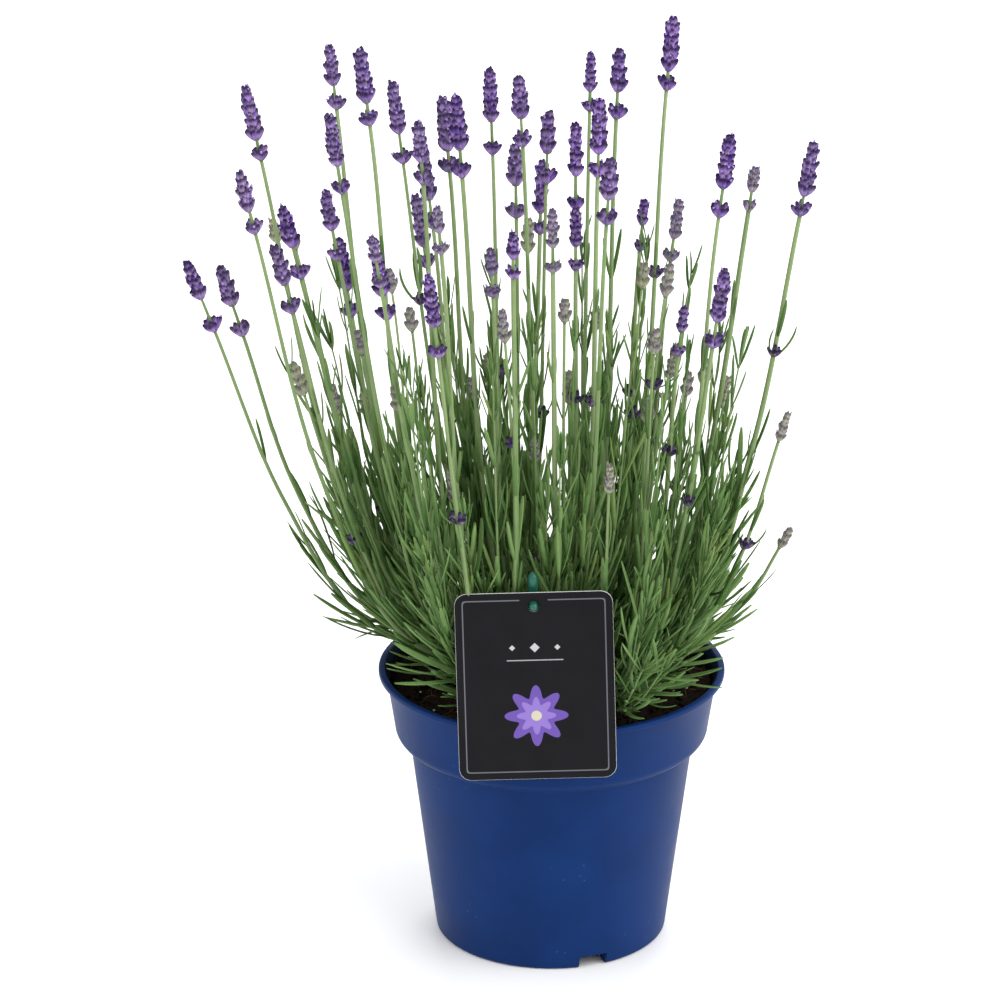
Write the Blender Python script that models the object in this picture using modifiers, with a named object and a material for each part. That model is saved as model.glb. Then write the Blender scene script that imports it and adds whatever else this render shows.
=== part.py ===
"""Potted lavender: a blue nursery pot of soil with a dozen leafy bunches of flower stalks,
their violet spikes, and a card label on a green stake.

Metres, +Z up. The origin is the middle of the pot's foot, and the label faces -Y.
"""

import math
import random

import bmesh
import bpy
import numpy as np
from mathutils import Matrix, Vector
from mathutils.bvhtree import BVHTree

# The pot, as (radius, height) pairs down its outside and its inside.
POT_HEIGHT = 0.1545
RIM_RADIUS = 0.095
LIP_DEPTH = 0.003
LIP_WIDTH = 0.0038
COLLAR_TOP_RADIUS = 0.0907
COLLAR_FOOT = (0.0862, 0.1210)
SHOULDER = (0.0838, 0.1160)
STEP = (0.0778, 0.1125)
FOOT_RADIUS = 0.0636
WALL = 0.0015
FLARE_DEPTH = 0.0038
INSIDE_RISE = 0.0007
INSIDE_STEPS = (0.0022, 0.0016, 0.0018)
FLOOR_RISE = 0.0040
FOOT_RING_INNER = 0.0556
CENTRE_PAD = 0.0215
POT_SIDES = 32
SHARP = math.radians(35)
LIP_ROUND = 0.0008
FOOT_ROUND = 0.0026
FLOOR_SLOPE = 0.0018
DRAIN_COUNT = 3
DRAIN_SIZE = (0.016, 0.020, 0.014)
DRAIN_BEARING = math.radians(-69)

# The soil, which keeps a small gap to the pot's inside. Its dome is a radius and a share of its rise.
GAP = 0.0003
SOIL_EDGE = 0.1430
SOIL_CROWN = 0.1460
SOIL_DOME = ((0.045, 0.80), (0.074, 0.27))
SOIL_INSET = 0.0001

# The bunches: each one grows from a woody stump set in the soil.
BUNCHES = 12
CROWN_RADIUS = 0.058
STUMP_RADIUS = 0.0042
STUMP_FOOT = 0.1185
STUMP_TOP = 0.1560
STUMP_SIDES = 6
STUMP_TAPER = 0.75
HOLE_RADIUS = 0.0052
HOLE_FOOT = 0.1165
HOLE_DEPTH = 0.060
GOLDEN_ANGLE = math.pi * (3 - math.sqrt(5))

# The fan law: a stem that leaves its stump has spread by (height / REACH) ** BOW of its full
# spread, so every stem sprawls low first and then turns up, and no two bunches cross.
FAN_BASE = 0.1510
REACH = 0.380
BOW = 0.45
FAN_SPREAD = 3.3
WIDE = 0.070
WIDE_STOPS = (0.0, 0.10, 0.42, 1.0)
STALK_STOPS = (0.0, 0.16, 1.0)
SHOOT_STOPS = (0.0, 0.25, 1.0)
STEM_RADIUS = (0.0015, 0.0010)
SWAY = 0.0025

# The stalks that make the outline: tip x, tip y, tip height, and the kind of head. The rest are
# short ones with buds.
LEAD_STALKS = (
    (-0.195, -0.015, 0.393, "full"),
    (-0.180, 0.035, 0.373, "full"),
    (-0.164, 0.020, 0.479, "full"),
    (-0.165, -0.040, 0.451, "full"),
    (-0.120, 0.050, 0.494, "full"),
    (-0.102, -0.010, 0.509, "full"),
    (-0.117, -0.060, 0.489, "full"),
    (-0.122, 0.010, 0.425, "full"),
    (-0.086, 0.030, 0.480, "full"),
    (-0.071, -0.045, 0.480, "full"),
    (-0.052, 0.010, 0.477, "full"),
    (-0.034, 0.060, 0.478, "full"),
    (-0.020, -0.010, 0.493, "full"),
    (-0.002, 0.070, 0.450, "full"),
    (0.021, 0.045, 0.492, "young"),
    (0.024, -0.030, 0.487, "full"),
    (0.035, 0.015, 0.501, "full"),
    (0.064, 0.040, 0.512, "full"),
    (0.029, -0.075, 0.469, "full"),
    (0.051, 0.085, 0.397, "young"),
    (0.069, 0.055, 0.406, "young"),
    (0.093, -0.020, 0.465, "full"),
    (0.110, 0.050, 0.427, "young"),
    (0.139, 0.010, 0.451, "full"),
    (0.089, -0.070, 0.407, "full"),
    (-0.059, 0.045, 0.466, "full"),
    (-0.071, 0.035, 0.440, "full"),
    (-0.147, -0.040, 0.411, "full"),
    (-0.144, -0.005, 0.420, "full"),
    (-0.117, 0.080, 0.375, "full"),
    (-0.095, -0.080, 0.430, "young"),
    (-0.093, -0.055, 0.409, "full"),
    (-0.075, 0.100, 0.394, "full"),
    (-0.061, -0.090, 0.449, "young"),
    (-0.065, -0.120, 0.421, "full"),
    (-0.020, 0.110, 0.419, "full"),
    (-0.022, -0.110, 0.443, "young"),
    (-0.005, 0.130, 0.404, "full"),
    (-0.001, -0.060, 0.438, "young"),
    (0.012, 0.020, 0.460, "full"),
    (0.012, -0.005, 0.421, "young"),
    (0.070, -0.020, 0.371, "young"),
    (0.068, 0.040, 0.330, "young"),
    (-0.034, -0.025, 0.404, "young"),
    (-0.152, 0.030, 0.407, "bud"),
    (-0.143, 0.045, 0.398, "bud"),
    (-0.088, -0.030, 0.399, "bud"),
    (-0.141, -0.010, 0.340, "bud"),
    (-0.122, 0.020, 0.319, "bud"),
    (-0.107, 0.030, 0.343, "bud"),
    (-0.078, 0.015, 0.362, "bud"),
    (-0.028, -0.060, 0.388, "bud"),
    (-0.013, 0.055, 0.401, "bud"),
    (0.006, -0.035, 0.384, "bud"),
    (0.050, 0.020, 0.385, "bud"),
    (0.063, -0.020, 0.400, "bud"),
    (0.054, -0.055, 0.373, "bud"),
    (0.085, 0.030, 0.326, "bud"),
    (0.099, 0.070, 0.306, "bud"),
    (0.128, -0.030, 0.321, "bud"),
    (0.134, 0.020, 0.232, "bud"),
)
FILL_BUDS = 11
FILL_CENTRE = (-0.022, 0.0)
FILL_RADII = (0.158, 0.150)
FILL_HEIGHTS = (0.310, 0.370)
FILL_DIP = 0.045
TIP_STEPS = (0.0011, 0.0024, 0.0007)
STALK_MARGIN = 0.004
STALK_TRIES = 80
SEED = 41

# Heads: whorls up the spike, the gap below its last whorl, florets in a whorl, and its radius.
WHORL_PITCH = 0.0070
WAIST = 0.0012
WAIST_SWELL = 0.0006
TIP = (1.0, 0.86)
NOTCH = (0.55, 0.42)
TOP_NARROWING = 0.40
NARROWING_POWER = 2.6
APEX_RISE = 0.0022
COLLAR_SINK = 0.0018
SUNK = 0.0030
HEADS = {
    "full": {"whorls": (3, 4), "florets": 5, "radius": 0.0059, "foot": WAIST, "drops": (0.003, 0.013)},
    "young": {"whorls": (2, 3), "florets": 4, "radius": 0.0044, "foot": WAIST, "drops": (0.002, 0.008)},
    "bud": {"whorls": (2, 3), "florets": 3, "radius": 0.0038, "foot": 0.0021, "drops": (0.0, 0.0)},
}

# Leafy shoots between the stalks, and leaves.
SHOOTS_PER_BUNCH = 2
SHOOT_SPREAD = (0.012, 0.050)
SHOOT_MARGIN = 0.006
SHOOT_HEIGHTS = (0.060, 0.125)
SHOOT_TRIES = 60
SHOOT_LEAVES = 6
STALK_LEAVES = 1
LEAF_LENGTHS = (0.034, 0.052)
LEAF_WIDTH = 0.0038
LEAF_KEEL = 0.0010
KEEL_SHARE = 0.65
THICK_SHARE = 0.6
LEAF_SPLAY = (22, 46)
LEAF_OUTLINE = ((0.0, 0.20), (0.50, 1.0), (1.0, 0.0))
CLEARANCE = 0.0012
FOLIAGE_CENTRE = (-0.016, 0.0)
FOLIAGE_RADIUS = 0.145
LEAF_BOW = 0.16

# Room kept by the plan: between heads, from a head to a stem's middle, between the middles of two
# bunches' stems, round the card, behind it, and round its stake.
HEADS_APART = 0.001
HEAD_ROOM = 0.0022
STEM_ROOM = 0.0036
CARD_ROOM = 0.004
CARD_BACK = 0.003
STAKE_ROOM = 0.0024

# The label card and its stake.
LABEL_SIZE = (0.084, 0.104)
LABEL_THICKNESS = 0.0008
LABEL_CORNER = 0.0065
LABEL_MIDDLE = (-0.0093, -0.0941, 0.1818)
LABEL_LEAN = math.radians(5.0)
LABEL_ROLL = math.radians(1.6)
EYELET_RADIUS = 0.0032
EYELET_DROP = 0.0075
STAKE_RADIUS = 0.0030
STAKE_FOOT = 0.0945
STAKE_TOP = 0.0095
PEG_RADIUS = 0.0023

COLOURS = {
    "pot_blue": ((0.018, 0.062, 0.245), 0.38),
    "soil_brown": ((0.020, 0.013, 0.009), 0.95),
    "stem_green": ((0.150, 0.250, 0.080), 0.60),
    "spike_violet": ((0.130, 0.075, 0.330), 0.70),
    "card_black": ((0.022, 0.022, 0.026), 0.35),
    "stake_green": ((0.010, 0.120, 0.070), 0.35),
}


def clear_scene():
    for thing in list(bpy.data.objects):
        bpy.data.objects.remove(thing)


def new_collection(name):
    made = bpy.data.collections.new(name)
    bpy.context.scene.collection.children.link(made)
    return made


def new_material(name):
    colour, roughness = COLOURS[name]
    made = bpy.data.materials.new(name)
    made.use_nodes = True
    shader = made.node_tree.nodes["Principled BSDF"]
    shader.inputs["Base Color"].default_value = (*colour, 1.0)
    shader.inputs["Roughness"].default_value = roughness
    shader.inputs["Metallic"].default_value = 0.0
    return made


def new_object(name, data, collection, material):
    made = bpy.data.objects.new(name, data)
    made.data.materials.append(material)
    collection.objects.link(made)
    return made


def mesh_from(name, points, faces):
    mesh = bpy.data.meshes.new(name)
    mesh.from_pydata([tuple(p) for p in points], [], faces)
    mesh.validate()
    return mesh


def move_to(thing, collection):
    for owner in list(thing.users_collection):
        owner.objects.unlink(thing)
    collection.objects.link(thing)


def cut(target, cutter):
    modifier = target.modifiers.new("cut " + cutter.name, "BOOLEAN")
    modifier.operation = "DIFFERENCE"
    modifier.object = cutter
    cutter.hide_render = True
    cutter.display_type = "WIRE"


# --- Lofts: leaves and spikes -----------------------------------------------------------------


def zip_rings(lower, upper, low_start, up_start):
    """Triangles between two rings of (turn, point) pairs, taking the next point by its turn."""
    low_count, up_count = len(lower), len(upper)
    low_turns = [r[0] for r in lower] + [lower[0][0] + 1.0]
    up_turns = [r[0] for r in upper] + [upper[0][0] + 1.0]
    faces = []
    i = j = 0
    while i < low_count or j < up_count:
        low_next = low_turns[i + 1] if i < low_count else 9.0
        up_next = up_turns[j + 1] if j < up_count else 9.0
        low_here = low_start + i % low_count
        up_here = up_start + j % up_count
        if i < low_count and low_count > 1 and (low_next <= up_next or j >= up_count or up_count == 1):
            faces.append((low_here, low_start + (i + 1) % low_count, up_here))
            i += 1
        elif up_count > 1 and j < up_count:
            faces.append((low_here, up_start + (j + 1) % up_count, up_here))
            j += 1
        else:
            break
    return faces


def loft(name, rings):
    """A closed mesh through rings of (turn, point) pairs. A ring of one point is a tip."""
    points = [p for ring in rings for _, p in ring]
    starts = np.cumsum([0] + [len(ring) for ring in rings])
    faces = []
    for k in range(len(rings) - 1):
        faces += zip_rings(rings[k], rings[k + 1], int(starts[k]), int(starts[k + 1]))
    first, last = len(rings[0]), len(rings[-1])
    if first > 2:
        faces.append(tuple(range(first - 1, -1, -1)))
    if last > 2:
        faces.append(tuple(range(int(starts[-2]), int(starts[-2]) + last)))
    return mesh_from(name, points, faces)


def frame_along(direction):
    """Two unit vectors square to a direction and to each other, right-handed with it."""
    up = Vector(direction).normalized()
    side = up.orthogonal().normalized()
    return side, up.cross(side)


def circle_ring(centre, direction, radius, count, phase=0.0):
    """A ring of points round a direction, as (turn, point) pairs, from turn 0."""
    side, other = frame_along(direction)
    ring = []
    for k in range(count):
        turn = (k + phase) / count
        angle = 2 * math.pi * turn
        ring.append((turn, Vector(centre) + radius * (math.cos(angle) * side + math.sin(angle) * other)))
    return ring


def whorl_ring(foot, direction, radius, count, phase):
    """One whorl: florets that point up and out, with notches lower and nearer the stem between them."""
    side, other = frame_along(direction)
    along = Vector(direction).normalized()
    ring = []
    for k in range(2 * count):
        reach, rise = TIP if k % 2 else NOTCH
        reach *= radius
        rise *= WHORL_PITCH
        turn = (k + phase) / (2 * count)
        angle = 2 * math.pi * turn
        flat = math.cos(angle) * side + math.sin(angle) * other
        ring.append((turn, Vector(foot) + reach * flat + rise * along))
    return ring


def head_mesh(name, foot, direction, kind, whorls, drop):
    """A spike: crowns of florets up its axis, the lowest one apart from the rest by drop."""
    form = HEADS[kind]
    count = form["florets"]
    along = Vector(direction).normalized()
    rings = [circle_ring(foot, along, form["foot"], count)]
    here = 0.0
    total = whorls + (1 if drop > 0 else 0)
    for k in range(total):
        phase = 0.0 if k % 2 == 0 else 1.0
        share = k / (total - 1)
        radius = form["radius"] * (1.0 - TOP_NARROWING * share ** NARROWING_POWER)
        base = Vector(foot) + here * along
        if k > 0:
            rings.append(circle_ring(base, along, WAIST + WAIST_SWELL, count, 0.5 * phase))
        rings.append(whorl_ring(base, along, radius, count, phase))
        here += WHORL_PITCH
        if k == 0 and drop > 0:
            collar = Vector(foot) + (here - COLLAR_SINK) * along
            rings.append(circle_ring(collar, along, WAIST, count, 0.5))
            here += drop
    apex = Vector(foot) + (here + APEX_RISE) * along
    rings.append([(0.0, apex)])
    return loft(name, rings)


def leaf_mesh(name, root, direction, outward, length, width, keel, grow=0.0):
    """A narrow three-sided blade: two edges and a keel, bowed outwards, widest in its middle."""
    along = Vector(direction).normalized()
    side = along.cross(Vector(outward)).normalized()
    back = side.cross(along).normalized()
    rings = []
    for share, breadth in LEAF_OUTLINE:
        bow = LEAF_BOW * length * share * share
        middle = Vector(root) + share * length * along + bow * Vector(outward)
        if breadth == 0.0:
            rings.append([(0.0, middle)])
            continue
        half = 0.5 * width * breadth + grow
        depth = keel * max(breadth, THICK_SHARE) + grow
        rings.append([
            (0.0, middle + half * side - (1 - KEEL_SHARE) * depth * back),
            (1 / 3, middle - half * side - (1 - KEEL_SHARE) * depth * back),
            (2 / 3, middle + KEEL_SHARE * depth * back),
        ])
    return loft(name, rings)


# --- The plan of the plant --------------------------------------------------------------------


def bunch_feet():
    """The stumps' places: a sunflower spiral over the crown."""
    feet = []
    for k in range(BUNCHES):
        radius = CROWN_RADIUS * math.sqrt((k + 0.5) / BUNCHES)
        feet.append(np.array([radius * math.cos(k * GOLDEN_ANGLE), radius * math.sin(k * GOLDEN_ANGLE)]))
    return feet


def fan(height):
    """The share of its full spread that a stem has at a height above the fan's base."""
    return (max(height, 0.0) / REACH) ** BOW


def nearest_bunch(feet, aim):
    """The bunch whose widened foot is nearest to where a stem is bound, and how clear the choice is."""
    gaps = [float(np.linalg.norm(aim - FAN_SPREAD * foot)) for foot in feet]
    order = sorted(range(len(feet)), key=lambda k: gaps[k])
    return order[0], gaps[order[1]] - gaps[order[0]]


def stem_points(foot, aim, height, stops, sway=0.0):
    """The corners of a stem from its stump: the fan law, with a slight sway."""
    points = []
    for share in stops:
        flat = foot + (aim - foot) * fan(share * height) + sway * math.sin(math.pi * share)
        points.append(np.array([flat[0], flat[1], FAN_BASE + share * height]))
    return points


def samples(points, step=0.004):
    """Points along a run of straight stretches, about a step apart."""
    found = []
    for a, b in zip(points[:-1], points[1:]):
        count = max(2, int(np.linalg.norm(b - a) / step))
        found.append(a + (b - a) * np.linspace(0, 1, count, endpoint=False)[:, None])
    return np.concatenate(found + [points[-1][None, :]])


def closest(first, second):
    return float(np.sqrt(((first[:, None, :] - second[None, :, :]) ** 2).sum(2)).min())


def head_length(kind, whorls, drop):
    return (whorls + (1 if drop > 0 else 0)) * WHORL_PITCH + drop + APEX_RISE


def clears_card(run):
    """Whether points stay off the label, its stake and the space in front of it."""
    middle, across, up, outward = (np.array(v) for v in label_pose())
    offset = run - middle
    beside = np.abs(offset @ across) > 0.5 * LABEL_SIZE[0] + CARD_ROOM
    above = np.abs(offset @ up) > 0.5 * LABEL_SIZE[1] + CARD_ROOM
    behind = offset @ outward < -CARD_BACK
    stake = samples([np.array(v) for v in stake_line()])
    return bool((beside | above | behind).all()) and closest(run, stake) > STAKE_RADIUS + STAKE_ROOM


def fits(new, placed):
    """Whether a stalk's head and stem keep clear of the other heads and of other bunches' stems."""
    if not clears_card(new["stem"]) or not clears_card(new["head"]):
        return False
    for old in placed:
        if closest(new["head"], old["head"]) < new["radius"] + old["radius"] + HEADS_APART:
            return False
        if closest(new["head"], old["stem"]) < new["radius"] + HEAD_ROOM:
            return False
        if closest(new["stem"], old["head"]) < old["radius"] + HEAD_ROOM:
            return False
        if old["bunch"] != new["bunch"] and closest(new["stem"], old["stem"]) < STEM_ROOM:
            return False
    return True


def make_stalk(feet, tip, kind, draw):
    """A stalk whose head ends at tip: its bunch, its corners, and its head."""
    whorls = draw.randint(*HEADS[kind]["whorls"])
    drop = draw.uniform(*HEADS[kind]["drops"])
    length = head_length(kind, whorls, drop)
    flat = np.array(tip[:2])
    aim = flat / fan(tip[2] - FAN_BASE)
    bunch, margin = nearest_bunch(feet, aim)
    foot = feet[bunch]
    sway = SWAY * np.array([draw.uniform(-1, 1), draw.uniform(-1, 1)])
    height = tip[2] - FAN_BASE
    aim = foot + (flat - foot) / fan(height)
    stops = WIDE_STOPS if np.linalg.norm(flat - foot) > WIDE else STALK_STOPS
    whole = stem_points(foot, aim, height, stops, sway)
    leaning = whole[-1] - whole[-2]
    leaning = leaning / np.linalg.norm(leaning)
    base = whole[-1] - length * leaning
    stem = whole[:-1] + [base]
    return {
        "bunch": bunch,
        "margin": margin,
        "kind": kind,
        "whorls": whorls,
        "drop": drop,
        "points": stem,
        "axis": leaning,
        "radius": HEADS[kind]["radius"],
        "stem": samples(stem[1:]),
        "head": samples([base, whole[-1]], 0.003),
    }


def wanted_tips(draw):
    """The chosen stalks, then short ones spread over the crown by the golden angle."""
    tips = [((x, y, z), kind) for x, y, z, kind in LEAD_STALKS]
    for k in range(FILL_BUDS):
        share = math.sqrt((k + 0.5) / FILL_BUDS)
        bearing = k * GOLDEN_ANGLE
        x = FILL_CENTRE[0] + FILL_RADII[0] * share * math.cos(bearing)
        y = FILL_CENTRE[1] + FILL_RADII[1] * share * math.sin(bearing)
        z = draw.uniform(*FILL_HEIGHTS) - FILL_DIP * share * share
        squeeze = fan(z - FAN_BASE)
        tips.append(((x * squeeze, y * squeeze, z), "bud"))
    return tips


def plan_stalks(feet):
    """Every stalk in turn, moved a little further at each try until it is clear of the others."""
    draw = random.Random(SEED)
    placed = []
    for tip, kind in wanted_tips(draw):
        for attempt in range(STALK_TRIES):
            moved = [
                place + attempt * step * draw.uniform(-1, 1) for place, step in zip(tip, TIP_STEPS)
            ]
            stalk = make_stalk(feet, moved, kind, draw)
            if stalk["margin"] > STALK_MARGIN and fits(stalk, placed):
                placed.append(stalk)
                break
        else:
            raise RuntimeError("no clear place for a stalk near " + str(tip))
    return placed


def plan_shoots(feet, placed):
    """Short leafy shoots of each bunch, in the gaps between its stalks."""
    draw = random.Random(SEED + 1)
    shoots = []
    for bunch, foot in enumerate(feet):
        for k in range(SHOOTS_PER_BUNCH):
            for attempt in range(SHOOT_TRIES):
                bearing = draw.uniform(0, 2 * math.pi)
                way = np.array([math.cos(bearing), math.sin(bearing)])
                aim = FAN_SPREAD * foot + draw.uniform(*SHOOT_SPREAD) * way
                chosen, margin = nearest_bunch(feet, aim)
                height = draw.uniform(*SHOOT_HEIGHTS)
                points = stem_points(foot, aim, height, SHOOT_STOPS)
                run = samples(points[1:])
                clear = all(
                    closest(run, old["stem"]) > STEM_ROOM for old in placed if old["bunch"] != bunch
                )
                if chosen == bunch and margin > SHOOT_MARGIN and clear and clears_card(run):
                    shoots.append({"bunch": bunch, "points": points})
                    break
    return shoots


def leaf_plan(points, count, low, high, draw):
    """Leaves in pairs up a stem, each pair a quarter turn from the last: root, bearing, length."""
    run = samples(points, 0.002)
    heights = run[:, 2] - FAN_BASE
    turn = draw.uniform(0, 2 * math.pi)
    leaves = []
    pairs = (count + 1) // 2
    shares = [(pair + draw.uniform(0.25, 0.75)) / pairs for pair in range(pairs)]
    for k in range(count):
        pair, mate = divmod(k, 2)
        height = low + (high - low) * shares[pair]
        place = int(np.argmin(np.abs(heights - height)))
        place = min(max(place, 1), len(run) - 1)
        stem = Vector(run[place] - run[place - 1]).normalized()
        leaves.append({
            "root": Vector(run[place]),
            "stem": stem,
            "bearing": turn + math.pi * mate + 0.5 * math.pi * pair,
            "length": draw.uniform(*LEAF_LENGTHS),
            "splay": math.radians(draw.uniform(*LEAF_SPLAY)),
        })
    return leaves


def leaf_pose(leaf, twist=0.0):
    """The direction that a leaf points in, and its outward side."""
    side, other = frame_along(leaf["stem"])
    bearing = leaf["bearing"] + twist
    outward = math.cos(bearing) * side + math.sin(bearing) * other
    direction = math.cos(leaf["splay"]) * leaf["stem"] + math.sin(leaf["splay"]) * outward
    return direction, outward


# --- Solids -----------------------------------------------------------------------------------


def evaluated_copy(thing):
    graph = bpy.context.evaluated_depsgraph_get()
    mesh = bpy.data.meshes.new_from_object(thing.evaluated_get(graph))
    mesh.transform(thing.matrix_world)
    return mesh


def turned(name, profile, material, collection):
    """A turned shape, smooth round its bends and sharp at its corners. The profile runs down
    its outer side."""
    edges = [(k, k + 1) for k in range(len(profile) - 1)]
    outline = bpy.data.meshes.new(name + "_profile")
    outline.from_pydata([(r, 0.0, z) for r, z in profile], edges, [])
    guide = bpy.data.objects.new(name + "_profile", outline)
    bpy.context.scene.collection.objects.link(guide)
    screw = guide.modifiers.new("turn", "SCREW")
    screw.axis = "Z"
    screw.angle = 2 * math.pi
    screw.steps = screw.render_steps = POT_SIDES
    screw.use_merge_vertices = True
    screw.merge_threshold = 0.00005
    mesh = evaluated_copy(guide)
    bpy.data.objects.remove(guide)
    mesh.shade_smooth()
    mesh.set_sharp_from_angle(angle=SHARP)
    mesh.name = name
    return new_object(name, mesh, collection, material)


def box_cutter(name, size, location, turn, collection):
    bpy.ops.mesh.primitive_cube_add(size=1.0, location=location, rotation=(0, 0, turn))
    box = bpy.context.object
    box.name = name
    box.scale = size
    bpy.ops.object.transform_apply(location=False, rotation=False, scale=True)
    move_to(box, collection)
    return box


def inner_radius(height):
    """The radius of the pot's inside at a height above its floor."""
    bends = [bend[1] + INSIDE_RISE for bend in (STEP, SHOULDER, COLLAR_FOOT)]
    radii = [
        FOOT_RADIUS - INSIDE_STEPS[0],
        STEP[0] - INSIDE_STEPS[1],
        SHOULDER[0] - INSIDE_STEPS[2],
        COLLAR_FOOT[0] - WALL,
        COLLAR_TOP_RADIUS - WALL,
    ]
    return float(np.interp(height, [FLOOR_RISE, *bends, POT_HEIGHT - FLARE_DEPTH], radii))


def make_pot(parts, cutters, material):
    bends = [bend[1] + INSIDE_RISE for bend in (STEP, SHOULDER, COLLAR_FOOT)]
    inside = [(0.0, FLOOR_RISE + WALL)]
    for height in (FLOOR_RISE + WALL, *bends, POT_HEIGHT - FLARE_DEPTH):
        inside.append((inner_radius(height), height))
    inside.append((RIM_RADIUS - LIP_WIDTH, POT_HEIGHT))
    outside = [
        (RIM_RADIUS - LIP_ROUND, POT_HEIGHT),
        (RIM_RADIUS, POT_HEIGHT - LIP_ROUND),
        (RIM_RADIUS, POT_HEIGHT - LIP_DEPTH),
        (COLLAR_TOP_RADIUS, POT_HEIGHT - LIP_DEPTH - LIP_ROUND),
        COLLAR_FOOT,
        SHOULDER,
        STEP,
        (FOOT_RADIUS, FOOT_ROUND),
        (FOOT_RADIUS - FOOT_ROUND, 0.0),
        (FOOT_RING_INNER, 0.0),
        (FOOT_RING_INNER - FLOOR_SLOPE, FLOOR_RISE),
        (CENTRE_PAD + FLOOR_SLOPE, FLOOR_RISE),
        (CENTRE_PAD, 0.0),
        (0.0, 0.0),
    ]
    pot = turned("pot", inside + outside, material, parts)
    for k in range(DRAIN_COUNT):
        bearing = DRAIN_BEARING + 2 * math.pi * k / DRAIN_COUNT
        place = (FOOT_RADIUS * math.cos(bearing), FOOT_RADIUS * math.sin(bearing), 0.0)
        size = (DRAIN_SIZE[1], DRAIN_SIZE[0], DRAIN_SIZE[2])
        cut(pot, box_cutter(f"drain_cutter_{k + 1}", size, place, bearing, cutters))
    return pot


def make_soil(parts, cutters, feet, stake, material):
    floor = FLOOR_RISE + WALL + GAP
    inset = GAP + SOIL_INSET
    profile = [(0.0, SOIL_CROWN)]
    for radius, share in SOIL_DOME:
        profile.append((radius, SOIL_EDGE + share * (SOIL_CROWN - SOIL_EDGE)))
    bends = [bend[1] + INSIDE_RISE for bend in (COLLAR_FOOT, SHOULDER, STEP)]
    for height in (SOIL_EDGE, *bends, floor):
        profile.append((inner_radius(height) - inset, height))
    profile.append((0.0, floor))
    soil = turned("soil", profile, material, parts)
    for k, foot in enumerate(feet):
        bpy.ops.mesh.primitive_cylinder_add(
            vertices=STUMP_SIDES,
            radius=HOLE_RADIUS,
            depth=HOLE_DEPTH,
            location=(foot[0], foot[1], HOLE_FOOT + 0.5 * HOLE_DEPTH),
        )
        cutter = bpy.context.object
        cutter.name = f"stump_hole_cutter_{k + 1}"
        move_to(cutter, cutters)
        cut(soil, cutter)
    foot, top = stake
    start = foot - 0.001 * (top - foot).normalized()
    slot = tube_mesh("stake_hole_cutter", [start, top], [1.25, 1.25], STAKE_RADIUS, 2)
    cutter = bpy.data.objects.new("stake_hole_cutter", slot)
    cutters.objects.link(cutter)
    cut(soil, cutter)
    return soil


def tube_mesh(name, points, scales, radius, resolution):
    """A tube along points, made as a bevelled curve and turned into a closed mesh."""
    curve = bpy.data.curves.new(name, "CURVE")
    curve.dimensions = "3D"
    curve.bevel_depth = radius
    curve.bevel_resolution = resolution
    curve.use_fill_caps = True
    spline = curve.splines.new("POLY")
    spline.points.add(len(points) - 1)
    for corner, point, scale in zip(spline.points, points, scales):
        corner.co = (*point, 1.0)
        corner.radius = scale
    guide = bpy.data.objects.new(name, curve)
    bpy.context.scene.collection.objects.link(guide)
    graph = bpy.context.evaluated_depsgraph_get()
    mesh = bpy.data.meshes.new_from_object(guide.evaluated_get(graph))
    bpy.data.objects.remove(guide)
    bpy.data.curves.remove(curve)
    weld(mesh)
    return mesh


def weld(mesh):
    shape = bmesh.new()
    shape.from_mesh(mesh)
    bmesh.ops.remove_doubles(shape, verts=shape.verts, dist=0.00002)
    bmesh.ops.recalc_face_normals(shape, faces=shape.faces)
    shape.to_mesh(mesh)
    shape.free()


def stem_mesh(name, points):
    """A square stem that thins towards its tip."""
    shares = np.linspace(0, 1, len(points))
    thick, thin = STEM_RADIUS
    scales = [1 + (thin / thick - 1) * s for s in shares]
    return tube_mesh(name, points, scales, thick, 0)


def tree_of(meshes):
    """A search tree over the triangles of some meshes."""
    points, faces = [], []
    for mesh in meshes:
        start = len(points)
        points += [v.co.copy() for v in mesh.vertices]
        mesh.calc_loop_triangles()
        faces += [tuple(start + i for i in t.vertices) for t in mesh.loop_triangles]
    return BVHTree.FromPolygons(points, faces)


def islands(shape):
    """The connected pieces of a bmesh, as lists of faces."""
    left = set(shape.faces)
    found = []
    while left:
        start = left.pop()
        piece, edge_of_search = [start], [start]
        while edge_of_search:
            face = edge_of_search.pop()
            for edge in face.edges:
                if len(edge.link_faces) != 2:
                    continue
                for other in edge.link_faces:
                    if other in left:
                        left.discard(other)
                        piece.append(other)
                        edge_of_search.append(other)
        found.append(piece)
    return found


def keep_outer_skin(mesh):
    """Drops corners that only bend an edge, then leaves only the biggest connected skin, so that
    no sealed hollow or loose scrap is left."""
    shape = bmesh.new()
    shape.from_mesh(mesh)
    spare_corners = [corner for corner in shape.verts if len(corner.link_edges) == 2]
    bmesh.ops.dissolve_verts(shape, verts=spare_corners)
    bmesh.ops.triangulate(shape, faces=shape.faces)
    pieces = sorted(islands(shape), key=len)
    spare = [face for piece in pieces[:-1] for face in piece]
    bmesh.ops.delete(shape, geom=spare, context="FACES")
    shape.to_mesh(mesh)
    shape.free()


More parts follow.
